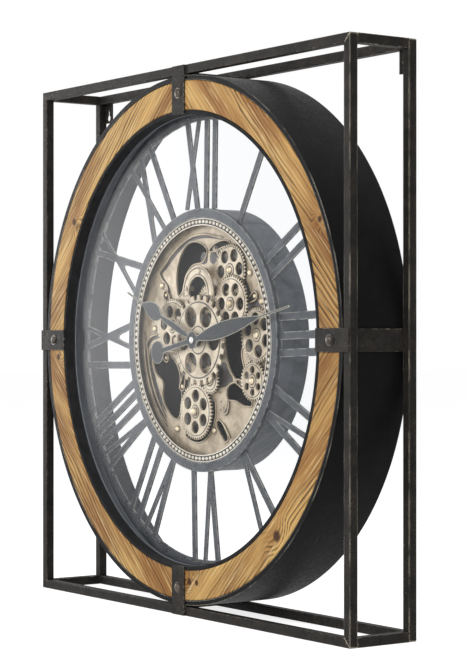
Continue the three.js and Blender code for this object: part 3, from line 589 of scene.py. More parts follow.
def brushed_slate(name, base, light, edge, wear, edge_width):
    """Slate grey paint with fine brushing, scuffs and pale worn edges."""
    finish = Finish(name, 0.5, 0.1, 0.2)
    along = finish.noise((120, 120, 1400), 4, 0.6)
    across = finish.noise((1100, 120, 110), 4, 0.6)
    strokes = finish.times(finish.math("ADD", along, across), 0.5)
    clouds = finish.noise(38, 5, 0.65, distortion=1.0)
    cloudy = finish.math("MULTIPLY_ADD", clouds, 0.7, finish.times(strokes, 0.3))
    brushed = finish.mix(finish.ramp(cloudy, 0.3, 0.7), base, light)
    scuffs = finish.patches(90, 0.6, 0.72, 6, 0.75, distortion=1.5)
    scuffed = finish.mix(finish.times(scuffs, 0.3), brushed, edge)
    rubbed = finish.patches(120, 0.5 - wear, 0.7 - wear, 3, 0.6)
    worn = finish.times(finish.edges(edge_width, 0.01, 0.09), rubbed)
    finish.set("Base Color", finish.mix(worn, scuffed, edge))
    finish.bump(strokes, 0.2, 0.1)
    return finish.material


def antique_gold(name, base, shade, patina_and_shade, metallic=0.25, reach=3.5, shadows=()):
    """Pale gold with mottling, dark patina and painted shade in the recesses, painted shadow in the shadow
    circles, and painted highlights on its edges.
    """
    finish = Finish(name, 0.45, metallic, 0.5)
    mottled = finish.mix(finish.patches(45, 0.38, 0.66, 5, 0.6), base, shade)
    patchy_shade = finish.patches(140, 0.3, 0.7, 4, 0.7, 0.75, 1.2)
    # Occlusion darkens the recesses, partly patina and partly painted shade; the circles below paint shadow.
    depth = finish.recesses(reach)
    for place, radius in shadows:
        depth = finish.math("MAXIMUM", depth, finish.near(place, radius + 1.5, radius - 3))
    depth = finish.times(depth, patchy_shade)
    dark = finish.mix(finish.math("MINIMUM", depth, 0.96), mottled, patina_and_shade)
    # Pale edges in patches: painted highlights.
    bright = finish.times(finish.edges(0.6), finish.patches(200, 0.4, 0.6), 0.35)
    finish.set("Base Color", finish.mix(bright, dark, (245, 236, 215)))
    finish.set("Roughness", finish.patches(250, 0.25, 0.75, 3, 0.5, 0.34, 0.52))
    finish.bump(finish.noise(700, 3, 0.6), 0.2, 0.06)
    return finish.material


# Knots of the wood as x and rise on the bezel, and their radius
KNOTS = [(-225, 140, 4.5), (-262, -20, 4), (252, 120, 3.5), (180, -200, 6.5), (20, -262, 4.5),
         (34, -262, 3.5)]
# Place on the bezel where the wood is darkest
WOOD_DARK_SPOT = (272, 20)


def fir_wood():
    """Oiled fir, its grain along each quarter's chord as stored in the grain attribute."""
    finish = Finish("fir_wood", 0.55, 0, 0.12)
    grain = finish.node("Attribute", attribute_name="grain").outputs["Vector"]
    across = finish.node("SeparateXYZ", {"Vector": grain}).outputs["Y"]
    drift = finish.noise((5, 16, 3), 3, 0.5, grain)
    rings = finish.math("ADD", finish.times(across, 210.0), finish.times(drift, 5.5))
    core = 0.0
    for x, rise, radius in KNOTS:
        rings = finish.math("ADD", rings, finish.near((x, rise), 4.5 * radius, radius, 0.0, 2.4))
        core = finish.math("ADD", finish.near((x, rise), 1.25 * radius, 0.55 * radius), core)
    wobble = finish.noise((18, 160, 3), 2, 0.5, grain)
    rings = finish.math("ADD", rings, finish.times(wobble, 0.6))
    late = finish.ramp(finish.math("FRACT", rings, 0.0), 0.3, 0.92)
    fibre = finish.noise((26, 900, 40), 4, 0.6, grain)
    boards = finish.patches((7, 30, 5), 0.35, 0.65, place=grain)
    ground = finish.mix(boards, (240, 194, 120), (178, 126, 68))
    streak = finish.times(late, finish.ramp(fibre, 0.3, 0.6, 0.4, 1))
    strength = finish.patches((4, 95, 5), 0.38, 0.6, 3, 0.55, 0.22, 1, grain)
    streaked = finish.mix(finish.times(streak, strength), ground, (56, 27, 9))
    pores = finish.patches((22, 1100, 22), 0.5, 0.68, 4, 0.7, place=grain)
    fine = finish.mix(finish.times(pores, 0.5), streaked, (140, 86, 40))
    # Pale streaks along the grain: painted highlights.
    glint = finish.patches((16, 420, 16), 0.54, 0.7, 3, 0.6, place=grain)
    pale = finish.mix(finish.times(glint, 0.7), fine, (255, 226, 168))
    knotted = finish.mix(finish.math("MINIMUM", core, 0.95), pale, (70, 38, 20))
    darkened_spot = finish.mix(finish.near(WOOD_DARK_SPOT, 190, 60, 0.0, 0.75), knotted, (204, 190, 176), "MULTIPLY")
    soiled = finish.times(finish.edges(1.2), 0.35)
    finish.set("Base Color", finish.mix(soiled, darkened_spot, (120, 78, 42)))
    finish.bump(finish.math("SUBTRACT", fibre, late), 0.35, 0.18)
    return finish.material


def clear_glass():
    """Thin clear glass: mirrors a little at a slant and lets the rest through."""
    finish = Finish("clear_glass", 0.1, 0)
    fresnel = finish.node("Fresnel", {"IOR": 1.23}).outputs["Fac"]
    leaving = finish.node("NewGeometry").outputs["Backfacing"]
    fresnel = finish.times(fresnel, finish.math("SUBTRACT", 1.0, leaving))
    through = finish.node("BsdfTransparent", {"Color": GLASS_TINT})
    mirror = finish.node("BsdfGlossy", {"Roughness": 0.25})
    mixed = finish.node("MixShader", {0: fresnel, 1: through.outputs[0], 2: mirror.outputs[0]})
    output = finish.tree.nodes["Material Output"]
    finish.tree.links.new(mixed.outputs[0], output.inputs["Surface"])
    finish.tree.nodes.remove(finish.shader)
    return finish.material


def moulded_plastic(name, base, roughness):
    """Moulded plastic with a fine spark eroded texture."""
    finish = Finish(name, roughness, 0, 0.45)
    tone = finish.patches(70, 0.3, 0.7, to_low=0.85, to_high=1.15)
    tones = finish.node("CombineColor", {0: tone, 1: tone, 2: tone}).outputs[0]
    finish.set("Base Color", finish.mix(1.0, base, tones, "MULTIPLY"))
    finish.bump(finish.noise(2400, 2), 0.3, 0.05)
    return finish.material


def turned_metal(name, base, roughness):
    """Turned or drawn metal with fine lines round its axis."""
    finish = Finish(name, roughness, 0.9)
    lines = finish.noise((900, 900, 900), 3, 0.6)
    finish.set("Base Color", finish.mix(finish.ramp(lines, 0.3, 0.7), base, (235, 235, 235)))
    finish.set("Roughness", finish.ramp(lines, 0.3, 0.7, roughness - 0.08, roughness + 0.08))
    return finish.material


GLASS_TINT = (0.975, 0.98, 0.985, 1)
# Each paint: base, light patches, worn edge, strength of the speckles, share of worn edge, width of wear
FRAME_PAINT = worn_paint("frame_paint", (36, 35, 34), (54, 50, 46), (222, 204, 176), 0.9, 0.02, 1.5,
                         0.55, 0.0, 0.25, 0.1)
RUBBED_PAINT = worn_paint("rubbed_paint", (32, 31, 30), (51, 47, 43), (255, 244, 220), 0.9, 0.2, 1.8,
                          0.55, 0.0, 0.25, 0.1)
# Its pale worn edges in patches also stand in for the bright highlight line along the drum's rim: painted
# highlight.
DRUM_PAINT = worn_paint("drum_paint", (20, 20, 21), (25, 25, 26), (226, 218, 204), 0.1, 0.24, 1.4,
                        0.45, 0.0, 0.06, 0.05)
BEZEL_PAINT = worn_paint("bezel_paint", (42, 42, 43), (53, 53, 54), (160, 150, 134), 0.1, 0.0, 1.0,
                         0.7, 0.0, 0.06, 0.04)
SCREW_PAINT = worn_paint("screw_paint", (62, 58, 54), (98, 90, 80), (190, 170, 140), 0.6, -0.05, 0.6,
                         0.36, 0.7)
SLATE = brushed_slate("slate", (70, 73, 78), (102, 105, 110), (190, 188, 180), 0.14, 2.4)
# A lighter copy of the slate for the clamp ring and the spacer, which lie in the bezel's shadow: painted
# light.
LIT_SLATE = brushed_slate("lit_slate", (138, 141, 146), (160, 163, 168), (170, 168, 162), 0.02, 1)
INSIDE_PAINT = brushed_slate("inside_paint", (70, 72, 77), (88, 90, 95), (170, 168, 162), 0.02, 1)
# Near black slate for the housing's inside lining and the rear plate, standing in for the shade seen through
# the cut-outs: painted shade.
WELL_SHADE = brushed_slate("well_shade", (36, 36, 39), (46, 46, 50), (120, 116, 108), 0.02, 1)
# Slate painted lighter than the dial's to make up for the weak light on the housing's side: painted light.
HOUSING_SLATE = brushed_slate("housing_slate", (98, 102, 108), (138, 142, 148), (170, 168, 162), 0.02, 1.5)
HAND_SLATE = brushed_slate("hand_slate", (46, 50, 54), (60, 64, 68), (250, 242, 222), 0.45, 1.6)
GOLD = antique_gold("antique_gold", (224, 208, 182), (176, 158, 130), (22, 18, 14))
# Pale gold of the beads and lips, a lit copy beside the dark channel: painted light.
BEAD_GOLD = antique_gold("bead_gold", (252, 244, 230), (226, 214, 194), (40, 35, 31), reach=2)
# A darker copy of the gold for the fine wheel behind the crown, with painted shadow where the crown covers
# it.
CROWN_SHADOW_GOLD = antique_gold("crown_shadow_gold", (200, 184, 158), (160, 142, 114), (34, 29, 24),
                           shadows=[((0, 0), 43)])
# Dark gold that paints shade: shadow lines, patches and dark holes on the floor, and lines at the steps of
# the wheels and the arch.
PAINTED_SHADE = antique_gold("painted_shade", (58, 50, 43), (40, 35, 30), (18, 16, 14))
# Dark gold of the bead channel: patina and painted shade between the beads.
CHANNEL_SHADE = antique_gold("bead_channel", (92, 84, 74), (68, 61, 53), (30, 26, 22), reach=2)
RIVET_GOLD = antique_gold("rivet_gold", (232, 216, 186), (200, 180, 146), (60, 50, 40), 0.8, 1)
WOOD = fir_wood()
GLASS = clear_glass()
BLACK_PLASTIC = moulded_plastic("black_plastic", (34, 34, 35), 0.55)
SWITCH_PLASTIC = moulded_plastic("switch_plastic", (190, 190, 188), 0.5)
CELL_BLACK = moulded_plastic("cell_jacket", (46, 48, 52), 0.3)
CELL_COPPER = turned_metal("cell_band", (176, 112, 70), 0.35)
STEEL = turned_metal("turned_steel", (170, 170, 172), 0.35)
NUT_METAL = turned_metal("nut_metal", (178, 172, 158), 0.4)


# Steel box frame, straps and hangers keep their solids, with softened edges
def soften_node(node, material, width):
    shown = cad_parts[node]
    shown.data.materials.clear()
    shown.data.materials.append(material)
    weld = shown.modifiers.new("weld", "WELD")
    weld.merge_threshold = 1e-6
    bevel = shown.modifiers.new("softened", "BEVEL")
    bevel.width = width * MM
    bevel.segments = 3
    bevel.limit_method = "ANGLE"
    bevel.angle_limit = math.radians(40)
    bevel.harden_normals = True


def build_frame():
    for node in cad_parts:
        if node.startswith(("front_bar", "rear_bar", "corner_strut")):
            soften_node(node, RUBBED_PAINT if node.endswith("bar_right") else FRAME_PAINT, 0.9)
        elif node.startswith(("side_plate", "hanger")) or node.startswith("strap_") and "screw" not in node:
            soften_node(node, FRAME_PAINT, 0.5)


def build_strap_screws():
    """Domed screws on thin washers."""
    seat = STRAP_FRONT - 0.2
    for side in ("top", "right", "bottom", "left"):
        low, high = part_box(f"strap_screw_{side}")
        middle = TO_ROW.inverted() @ ((low + high) / 2)
        centre = (middle.x, middle.z)
        washer = collar(0, WASHER_RADIUS, STRAP_FRONT - 0.5, STRAP_FRONT, 0.2, 40, centre)
        head = turned(dome(SCREW_RADIUS, SCREW_DOME, SCREW_FRONT, seat), 40, centre)
        shank = collar(0, SHANK_RADIUS, seat, SHANK_END, 0, 24, centre)
        piece(f"strap_bolt_{side}", [washer, head, shank], SCREW_PAINT, f"strap_screw_{side}")


# Drum, bezel, glass and wood
def build_drum():
    """Wall with a folded front rim and the tabs that hold the dial, and its painted inside."""
    bore = DRUM_RADIUS - SHEET
    rim = DRUM_RADIUS - DRUM_RIM
    wall = [(DRUM_RADIUS, 0), (DRUM_RADIUS, DRUM_DEPTH), (bore, DRUM_DEPTH), (bore, SHEET), (rim, SHEET),
            (rim, 0)]
    meshes = [turned(rounded(wall, 0.55, 4), DRUM_STEPS)]
    half = TAB_WIDTH / 2
    inner = bore - TAB_REACH
    outer = DRUM_RADIUS - SHEET / 2
    tab = rounded([(-half, inner), (half, inner), (half, outer), (-half, outer)], 3)
    meshes += [plate([turned_by(tab, angle)], DIAL_BACK, SHEET, 0.25) for angle in (45, 135, 225, 315)]
    piece("drum_shell", meshes, DRUM_PAINT, "drum")
    lining = collar(bore - 0.3, bore + 0.2, DIAL_BACK + SHEET + 0.5, DRUM_DEPTH - 1, 0.1, DRUM_STEPS)
    piece("drum_inside", [lining], INSIDE_PAINT)


def build_bezel():
    """Tray that holds the wood, the ring that clamps the glass and the spacer in front of the dial."""
    wall = BEZEL_BORE + SHEET
    profile = [(BEZEL_LIP, 0), (BEZEL_LIP, SHEET), (wall, SHEET), (wall, WOOD_THICKNESS),
               (DIAL_RADIUS, WOOD_THICKNESS), (DIAL_RADIUS, GLASS_DEPTH), (BEZEL_BORE, GLASS_DEPTH),
               (BEZEL_BORE, 0)]
    tray = turned(rounded(profile, 0.5, 4), DRUM_STEPS)
    piece("bezel_channel", [tray], BEZEL_PAINT, "bezel_tray")
    back = GLASS_BACK + SHEET
    ring = collar(BEZEL_BORE + 0.3, RETAINER_OUTER, GLASS_BACK, back, 0.3, DRUM_STEPS)
    # The clamp ring and spacer get the lighter slate, painted light in the bezel's shadow.
    piece("glass_clamp_ring", [ring], LIT_SLATE, "glass_retainer")
    spacer = collar(SPACER_BORE, SPACER_BORE + 1.2, back + 0.05, DIAL_DEPTH - 0.05, 0.2, DRUM_STEPS)
    piece("dial_spacer", [spacer], LIT_SLATE)


def build_glass():
    pane = collar(0, GLASS_RADIUS, GLASS_DEPTH, GLASS_BACK, 0.3, MODULE_STEPS)
    piece("glass_pane", [pane], GLASS, "glass")


def build_wood():
    """Four quarters, each with its grain along its chord."""
    profile = rounded(section(WOOD_INNER, WOOD_OUTER, 0, WOOD_THICKNESS), WOOD_ROUNDING, 5)
    centre = Vector((0, 0, HALF_SIDE * MM))
    for index, name in enumerate(("top_right", "bottom_right", "bottom_left", "top_left")):
        quarter = turned(profile, 64, start=90 * index + WOOD_GAP, end=90 * (index + 1) - WOOD_GAP)
        made = piece(f"wood_quarter_{name}", [quarter], WOOD, f"wood_{name}")
        chord = math.radians(90 * index + 135)
        along = Vector((math.sin(chord), 0, math.cos(chord)))
        across = Vector((along.z, 0, -along.x))
        grain = made.data.attributes.new("grain", "FLOAT_VECTOR", "POINT")
        for vertex, value in zip(made.data.vertices, grain.data):
            place = vertex.co - centre
            value.vector = (place.dot(along), place.dot(across), place.y + BOARD_SHIFT * index)


# Dial
def stroke(foot, head, width):
    """A stroke whose middle runs from foot, at its inner end, to head."""
    half = width / 2
    inner, outer = NUMERAL_INNER, NUMERAL_OUTER
    return [(foot - half, inner), (foot + half, inner), (head + half, outer), (head - half, outer)]


def letter(kind, at, foot=0, head=0):
    """Strokes of a letter from its place and its half widths at foot and head, below 0 if mirrored."""
    if kind == "I":
        return [stroke(at, at, BROAD_STROKE)]
    if kind == "V":
        return [stroke(at - foot, at - head, BROAD_STROKE), stroke(at + foot, at + head, FINE_STROKE)]
    return [stroke(at + foot, at - head, BROAD_STROKE), stroke(at - foot, at + head, FINE_STROKE)]


def build_dial():
    """Flat outer ring, raised inner ring with its wall, and numerals with fillets at the outer ring."""
    bore = HOUSING_RADIUS - SHEET
    inner = HOUSING_RADIUS - INNER_RING
    raised_back = INNER_RING_DEPTH + DIAL_THICKNESS
    raised = [(inner, INNER_RING_DEPTH), (HOUSING_RADIUS, INNER_RING_DEPTH), (HOUSING_RADIUS, DIAL_BACK),
              (bore, DIAL_BACK), (bore, raised_back), (inner, raised_back)]
    rings = [collar(RING_BORE, DIAL_RADIUS, DIAL_DEPTH, DIAL_BACK, 0.35, MODULE_STEPS),
             turned(rounded(raised, 0.5), MODULE_STEPS)]
    piece("dial_rings", rings, SLATE, "dial")
    for hour, (lean, letters) in enumerate(NUMERALS):
        shapes = [shape for sizes in letters for shape in letter(*sizes)]
        reach = math.degrees(max(abs(x) for shape in shapes for x, _ in shape) / RING_BORE) + 1.5
        foot = band(RING_BORE + 2.9, RING_BORE - 0.4, -reach, reach)
        loops = [rounded(loop, NUMERAL_FILLET, 5, inward_only=True) for loop in merged(shapes + [foot])]
        loops = [turned_by(loop, 30 * hour + lean) for loop in loops]
        numeral = plate(loops, NUMERAL_DEPTH, NUMERAL_THICKNESS, 0.45)
        piece(f"numeral_{hour or 12}", [numeral], SLATE)


# Gear module
def build_housing():
    """Cup with ledges for the floor and the rear plate, and its inside lined with a dark sheet of painted
    shade.
    """
    wall = HOUSING_RADIUS - HOUSING_STEP
    bore = HOUSING_RADIUS - SHEET
    deep_bore = bore - HOUSING_STEP
    step = DIAL_BACK + 4.5
    ledge, rear_ledge = FLOOR_BACK + SHEET, BACK_DEPTH - SHEET
    profile = [
        (HOUSING_RADIUS, DIAL_BACK), (HOUSING_RADIUS, step), (wall, step), (wall, HOUSING_END),
        (deep_bore, HOUSING_END), (deep_bore, BACK_DEPTH), (LEDGE_BORE, BACK_DEPTH), (LEDGE_BORE, rear_ledge),
        (deep_bore, rear_ledge), (deep_bore, ledge), (LEDGE_BORE, ledge), (LEDGE_BORE, FLOOR_BACK),
        (bore, FLOOR_BACK), (bore, DIAL_BACK),
    ]
    cup = turned(rounded(profile, 0.3), MODULE_STEPS)
    piece("housing_cup", [cup], HOUSING_SLATE, "gear_housing")
    lining = collar(bore - 1.1, bore - 0.6, ledge + 0.3, rear_ledge - 0.3, 0.1, MODULE_STEPS)
    piece("housing_inside", [lining], WELL_SHADE)


def build_module_back():
    """Rear plate with four screws, and holes for the centre and the driven wheel's arbor."""
    radius = HOUSING_RADIUS - SHEET - 1.05
    bearing = circle(BEARING_RADIUS, 24, WHEELS["lower_wheel"]["place"])
    meshes = [plate([circle(radius, 128), circle(CENTRE_BORE, 32), bearing], BACK_DEPTH, SHEET, 0.3)]
    for angle in (45, 135, 225, 315):
        x, rise = polar(radius - 9, angle)
        screw = turned(dome(BACK_SCREW, 1.3, -1.6, 0), 24)
        screw.transform(Matrix.Rotation(math.pi, 4, "X"))
        meshes.append(moved(screw, x, BACK_DEPTH + SHEET, rise))
    # The rear plate is near black: painted shade seen through the floor's cut-outs.
    piece("module_back_plate", meshes, WELL_SHADE, "module_back")


def build_bead_ring():
    """Channel with two lips and its wall behind, and a circle of beads."""
    front, outer, inner = BEAD_RING_DEPTH, BEAD_RING_RADIUS, BEAD_RING_INNER
    wall, rim = outer - 1, inner + 1.1
    bed, back = front + 0.2, front + 1.75
    profile = [
        (outer, front - 0.5), (outer, FLOOR_DEPTH), (wall, FLOOR_DEPTH), (wall, back), (inner, back),
        (inner, front - 0.6), (rim, front - 0.6), (rim, bed), (wall, bed), (wall, front - 0.5),
    ]
    ring = turned(rounded(profile, 0.35), RING_STEPS)
    # The channel's dark gold is patina and painted shade; the beads' pale gold is painted light.
    piece("bead_channel", [ring], CHANNEL_SHADE, "bead_ring")
    beads = [collar(radius - 0.6, radius + 0.6, front - 0.9, front, 0.4, RING_STEPS)
             for radius in (outer - 0.5, inner + 0.55)]
    bead = dome(BEAD_RADIUS, BEAD_DOME, front - 1.6, front + 0.4, 5)
    beads += [turned(bead, 12, polar(BEAD_CIRCLE, 360 * i / BEAD_COUNT)) for i in range(BEAD_COUNT)]
    piece("beads", beads, BEAD_GOLD, sharp=50)


# Floor of the module: cut-outs and raised work as x and rise from the dial centre
CUT_OUTS = [
    [(-54, 50), (-58, 72), (-50, 94), (-34, 107), (-16, 108), (2, 99), (-4, 88), (-26, 84), (-40, 72),
     (-46, 56)],
    [(8, 99), (22, 106), (36, 108), (47, 105), (32, 102), (18, 98)],
    [(-106, -20), (-102, -36), (-86, -48), (-86, -66), (-74, -81), (-56, -88), (-48, -66), (-56, -30),
     (-80, -15)],
    [(37, 20), (56, 23), (84, 24), (90, 17), (76, 2), (68, -14), (74, -38), (62, -43), (46, -31), (38, -8)],
    [(42, -63), (42, -53), (52, -47), (66, -49), (77, -57), (88, -69), (74, -70), (58, -65)],
    [(21, -91), (27, -88), (43, -107), (38, -110)],
]
ARCH_OPENING = {"radius": 19, "centre": (-14, 57)}
HALO = {"outer": 37, "inner": 27, "start": 75, "end": 215, "centre": (-18, -76)}
# Radii of small round things on the floor
FLOOR_SCREW = 3.3
SEAT_INNER = 3.9
SEAT_OUTER = 4.9
LEVER_SCREW = 2.5
PIN_HOLE = 1.1
RELIEF_WINDOW = 7
# Levers: length between the centres of their ends, radii of these, and width of the loop
LEVER_LENGTH = 12
LEVER_WIDE = 5.6
LEVER_NARROW = 3.6
LEVER_WALL = 1.7
# Screws as (x, rise), levers as (x, rise, angle), pin holes and windows as (x, rise); the pin holes and
# windows are dark discs of painted shade
FLOOR_SCREWS = [(-88, 62), (-103, 13), (-56, -100), (17, -99), (84, 72), (106, 41)]
FLOOR_LEVERS = [(-78, 51, 135), (-77, -20, 300), (94, 47, 245), (75, -48, 285), (-45, -52, 20)]
PIN_HOLES = [(30, -67), (35, -74), (29, -76), (28, -57), (47, -36), (44, 100)]
RELIEF_WINDOWS = [(14.5, 90.5), (-3, 90.5)]
# Arcs as (radius, start, end, width), other ridges, painted shadow lines beside the ridges and painted shade
# patches as corners of curves
ARC_RIDGES = [(118, 222, 268, 2.6), (124.5, 218, 276, 1.6)]
ARC_SHADOWS = [(113.5, 224, 266, 6), (121.3, 219, 274, 3.4)]
RIDGES = [
    [(34, 112), (14, 115.5), (-6, 117), (-26, 115), (-46, 108), (-66, 97), (-81, 86), (-93, 76), (-86, 68),
     (-77, 62), (-73, 52)],
    [(-121, -12), (-119, -3), (-112, 3), (-100, 6), (-92, 6)],
    [(44, -63), (45, -72), (42, -79), (35, -82)],
    [(34, -90), (41, -98), (50, -108)],
]
RIDGE_SHADOWS = [
    [(34, 109), (14, 112.5), (-6, 114), (-26, 112), (-45, 105), (-64, 94), (-79, 83), (-89, 75.5), (-83, 67),
     (-74, 60), (-70, 51)],
    [(-118, -12), (-116, -5), (-110, 0), (-100, 3), (-92, 3)],
    [(41.5, -63), (42.5, -71), (39.5, -76.5), (34, -79.5)],
]
RIDGE_SHADOW_WIDTH = 3.2
# Patches of painted shade where the floor lies in shadow.
SHADE_PATCHES = [
    [(64, 78), (79, 62), (88, 48), (100, 40), (108, 32), (112, 16), (90, 24), (80, 38), (74, 55), (64, 66)],
    [(30, 76), (44, 70), (58, 72), (68, 80), (66, 68), (50, 62), (32, 66)],
    [(-40, -24), (-52, -38), (-52, -56), (-42, -62), (-32, -48), (-30, -32)],
    [(14, -50), (26, -52), (40, -50), (52, -44), (46, -32), (36, -24), (22, -30)],
]
RELIEF = {"centre": (5.5, 76), "teeth": 44, "start": 20, "end": 100, "rim": 3.5}


def relief_outline():
    """The toothed part of a cast wheel that shows beside the top wheel."""
    teeth = gear_outline(RELIEF["teeth"], 0)
    shown = [p for p in teeth if RELIEF["start"] < math.degrees(math.atan2(*p)) < RELIEF["end"]]
    inner = pitch_radius(RELIEF["teeth"]) - RELIEF["rim"]
    outline = shown + arc(inner, RELIEF["end"] - 1, RELIEF["start"] + 1, 20)
    return [(x + RELIEF["centre"][0], rise + RELIEF["centre"][1]) for x, rise in outline]


def ridge(path, width=2.4):
    return plate([ribbon(path, width)], FLOOR_DEPTH - 1.5, 1.8, 0.7, 2)


def shade_sheet(outline):
    """A thin layer in the floor's surface that carries painted shade."""
    return plate([outline], FLOOR_DEPTH - 0.12, 0.4, 0.05, 0)


def lever(x, rise, angle):
    """A small cast loop round a slot, with a screw at its wide end."""
    tip = polar(LEVER_LENGTH, angle, (x, rise))
    loops = []
    for wall in (0, LEVER_WALL):
        wide = arc(LEVER_WIDE - wall, angle + 90, angle + 270, 16, (x, rise))
        loops.append(wide + arc(LEVER_NARROW - wall, angle - 90, angle + 90, 10, tip))
    return plate(loops, FLOOR_DEPTH - 2.2, 2.4, 0.6, 2)


def build_floor():
    """Floor plate with raised rims, ridges and levers, its painted shade and its small screws."""
    places = [wheel["place"] for wheel in WHEELS.values()]
    bearings = [circle(BEARING_RADIUS, 20, place) for place in places if place != (0, 0)]
    curves = [flowing(corners) for corners in CUT_OUTS]
    halo = band(**HALO)
    loops = [circle(HOUSING_RADIUS - SHEET - 0.3, MODULE_STEPS), circle(CENTRE_BORE, 32), halo,
             circle(**ARCH_OPENING)]
    meshes = [plate(loops + curves + bearings, FLOOR_DEPTH, FLOOR_THICKNESS, 0.25)]
    for curve in curves + [rounded(halo, 2)]:
        meshes.append(plate([grown(curve, 1.7), grown(curve, 0.15)], FLOOR_DEPTH - 0.8, 1.0, 0.35, 2))
    meshes += [ridge(arc(radius, start, end, 10), width) for radius, start, end, width in ARC_RIDGES]
    meshes += [ridge(path) for path in RIDGES]
    meshes += [lever(*sizes) for sizes in FLOOR_LEVERS]
    shade_outlines = [ribbon(arc(radius, start, end, 10), width) for radius, start, end, width in ARC_SHADOWS]
    shade_outlines += [ribbon(path, RIDGE_SHADOW_WIDTH) for path in RIDGE_SHADOWS] + [flowing(patch) for patch in SHADE_PATCHES]
    shade_outlines += [circle(PIN_HOLE, 12, place) for place in PIN_HOLES]
    shade_outlines += [circle(RELIEF_WINDOW, 32, place) for place in RELIEF_WINDOWS]
    relief = relief_outline()
    # A painted shadow round the cast relief.
    shade_outlines.append(grown(relief, 2.2))
    meshes.append(plate([relief], FLOOR_DEPTH - 0.4, 0.6, 0.1))
    piece("floor_painted_shade", [shade_sheet(outline) for outline in shade_outlines], PAINTED_SHADE)
    root = FLOOR_DEPTH + 0.2
    head = dome(FLOOR_SCREW, 1.8, FLOOR_DEPTH - 2.2, root)
    small_head = dome(LEVER_SCREW, 1.6, FLOOR_DEPTH - 2.6, root)
    screws = [turned(head, 24, place) for place in FLOOR_SCREWS]
    screws += [turned(small_head, 20, (x, rise)) for x, rise, _ in FLOOR_LEVERS]
    seat = FLOOR_DEPTH - 0.45
    meshes += [collar(SEAT_INNER, SEAT_OUTER, seat, root, 0.2, 28, place) for place in FLOOR_SCREWS]
    piece("floor_screws", screws, RIVET_GOLD)
    # Painted shadow circles under each wheel darken the floor's gold.
    shadows = [(wheel["place"], pitch_radius(wheel["teeth"])) for wheel in WHEELS.values()]
    material = antique_gold("floor_gold", (206, 188, 160), (160, 141, 114), (24, 20, 16), reach=4,
                            shadows=shadows)
    piece("module_floor", meshes, material, "gear_plate")


def build_arch():
    """Arched bridge with two raised edges, painted shadow lines beside them and two feet."""
    def arch(outer, inner):
        return band(outer, inner, -ARCH_SPAN, ARCH_SPAN, 40, ARCH_CENTRE)

    meshes = [plate([rounded(arch(ARCH_OUTER, ARCH_INNER), 3)], ARCH_DEPTH + 0.5, 1.5, 0.4)]
    for outer, inner in ((ARCH_OUTER, ARCH_OUTER - 2), (ARCH_INNER + 2, ARCH_INNER)):
        meshes.append(plate([arch(outer, inner)], ARCH_DEPTH, 1, 0.35, 2))
    for angle in ARCH_FEET:
        foot = polar((ARCH_OUTER + ARCH_INNER) / 2, angle, ARCH_CENTRE)
        meshes.append(collar(0, FOOT_RADIUS, ARCH_DEPTH + 1, FLOOR_DEPTH, 0.2, 24, foot))
        meshes.append(turned(dome(FOOT_SCREW, 1, ARCH_DEPTH - 0.7, ARCH_DEPTH + 0.8), 24, foot))
    piece("arch", meshes, GOLD, "arch_bridge")
    lines = [plate([arch(radius, radius - 1)], ARCH_DEPTH + 0.38, 0.3, 0.05, 0)
             for radius in (ARCH_OUTER - 2, ARCH_INNER + 3)]
    piece("arch_lines", lines, PAINTED_SHADE)


# Gear train, set out as the meshing wheels demand
def pitch_radius(teeth):
    return teeth * MODULE / 2


def beside(driver, teeth, angle, driver_teeth=None):
    """Place and turn of a wheel that meshes with its driver at a clock angle."""
    driver_teeth = driver_teeth or driver["teeth"]
    place = polar(pitch_radius(driver_teeth) + pitch_radius(teeth), angle, driver["place"])
    offset = math.fmod(driver["turn"] - angle, 360 / driver_teeth)
    turn = angle + 180 - driver_teeth / teeth * offset + 180 / teeth
    return {"place": place, "teeth": teeth, "turn": math.fmod(turn, 360)}


# Each wheel, its driver, teeth and clock angle from the driver, then the driver's pinion if it has one
WHEELS = {"centre_wheel": {"place": (0, 0), "teeth": 48, "turn": 0}}
for wheel_name, driver_name, *mesh_sizes in (
    ("left_wheel", "centre_wheel", 48, 284.5),
    ("lower_idler", "centre_wheel", 24, 160.2),
    ("lower_wheel", "lower_idler", 48, 218.1),
    ("upper_idler", "centre_wheel", 24, 11.9),
    ("upper_wheel", "upper_idler", 48, 96.9),
    ("right_wheel", "upper_wheel", 45, 124.9),
    ("small_wheel", "right_wheel", 33, 189),
    ("top_wheel", "upper_wheel", 44, TOP_ANGLE, PINION_TEETH),
):
    WHEELS[wheel_name] = beside(WHEELS[driver_name], *mesh_sizes)


def tooth_half_angle(teeth, radius):
    """Half the angle that an involute tooth takes at a radius, in degrees."""
    pressure = math.radians(PRESSURE_ANGLE)
    pitch = pitch_radius(teeth)
    base = pitch * math.cos(pressure)
    slope = math.acos(base / radius) if radius > base else 0
    half = (math.pi * MODULE / 2 - BACKLASH) / (2 * pitch)
    return math.degrees(half + math.tan(pressure) - pressure - math.tan(slope) + slope)


def gear_outline(teeth, turn, flank_steps=4):
    root = pitch_radius(teeth) - DEDENDUM
    tip = pitch_radius(teeth) + ADDENDUM
    radii = [root + (tip - root) * i / flank_steps for i in range(flank_steps + 1)]
    outline = []
    for i in range(teeth):
        middle = turn + 360 * i / teeth
        outline += [polar(r, middle - tooth_half_angle(teeth, r)) for r in radii]
        outline += [polar(r, middle + tooth_half_angle(teeth, r)) for r in reversed(radii)]
        outline.append(polar(root - 0.12, middle + 180 / teeth))
    return outline


def windows(radius, circle_radius, angle, steps=32):
    places = [polar(circle_radius, angle + 360 * i / WINDOW_COUNT) for i in range(WINDOW_COUNT)]
    return [circle(radius, steps, place) for place in places]


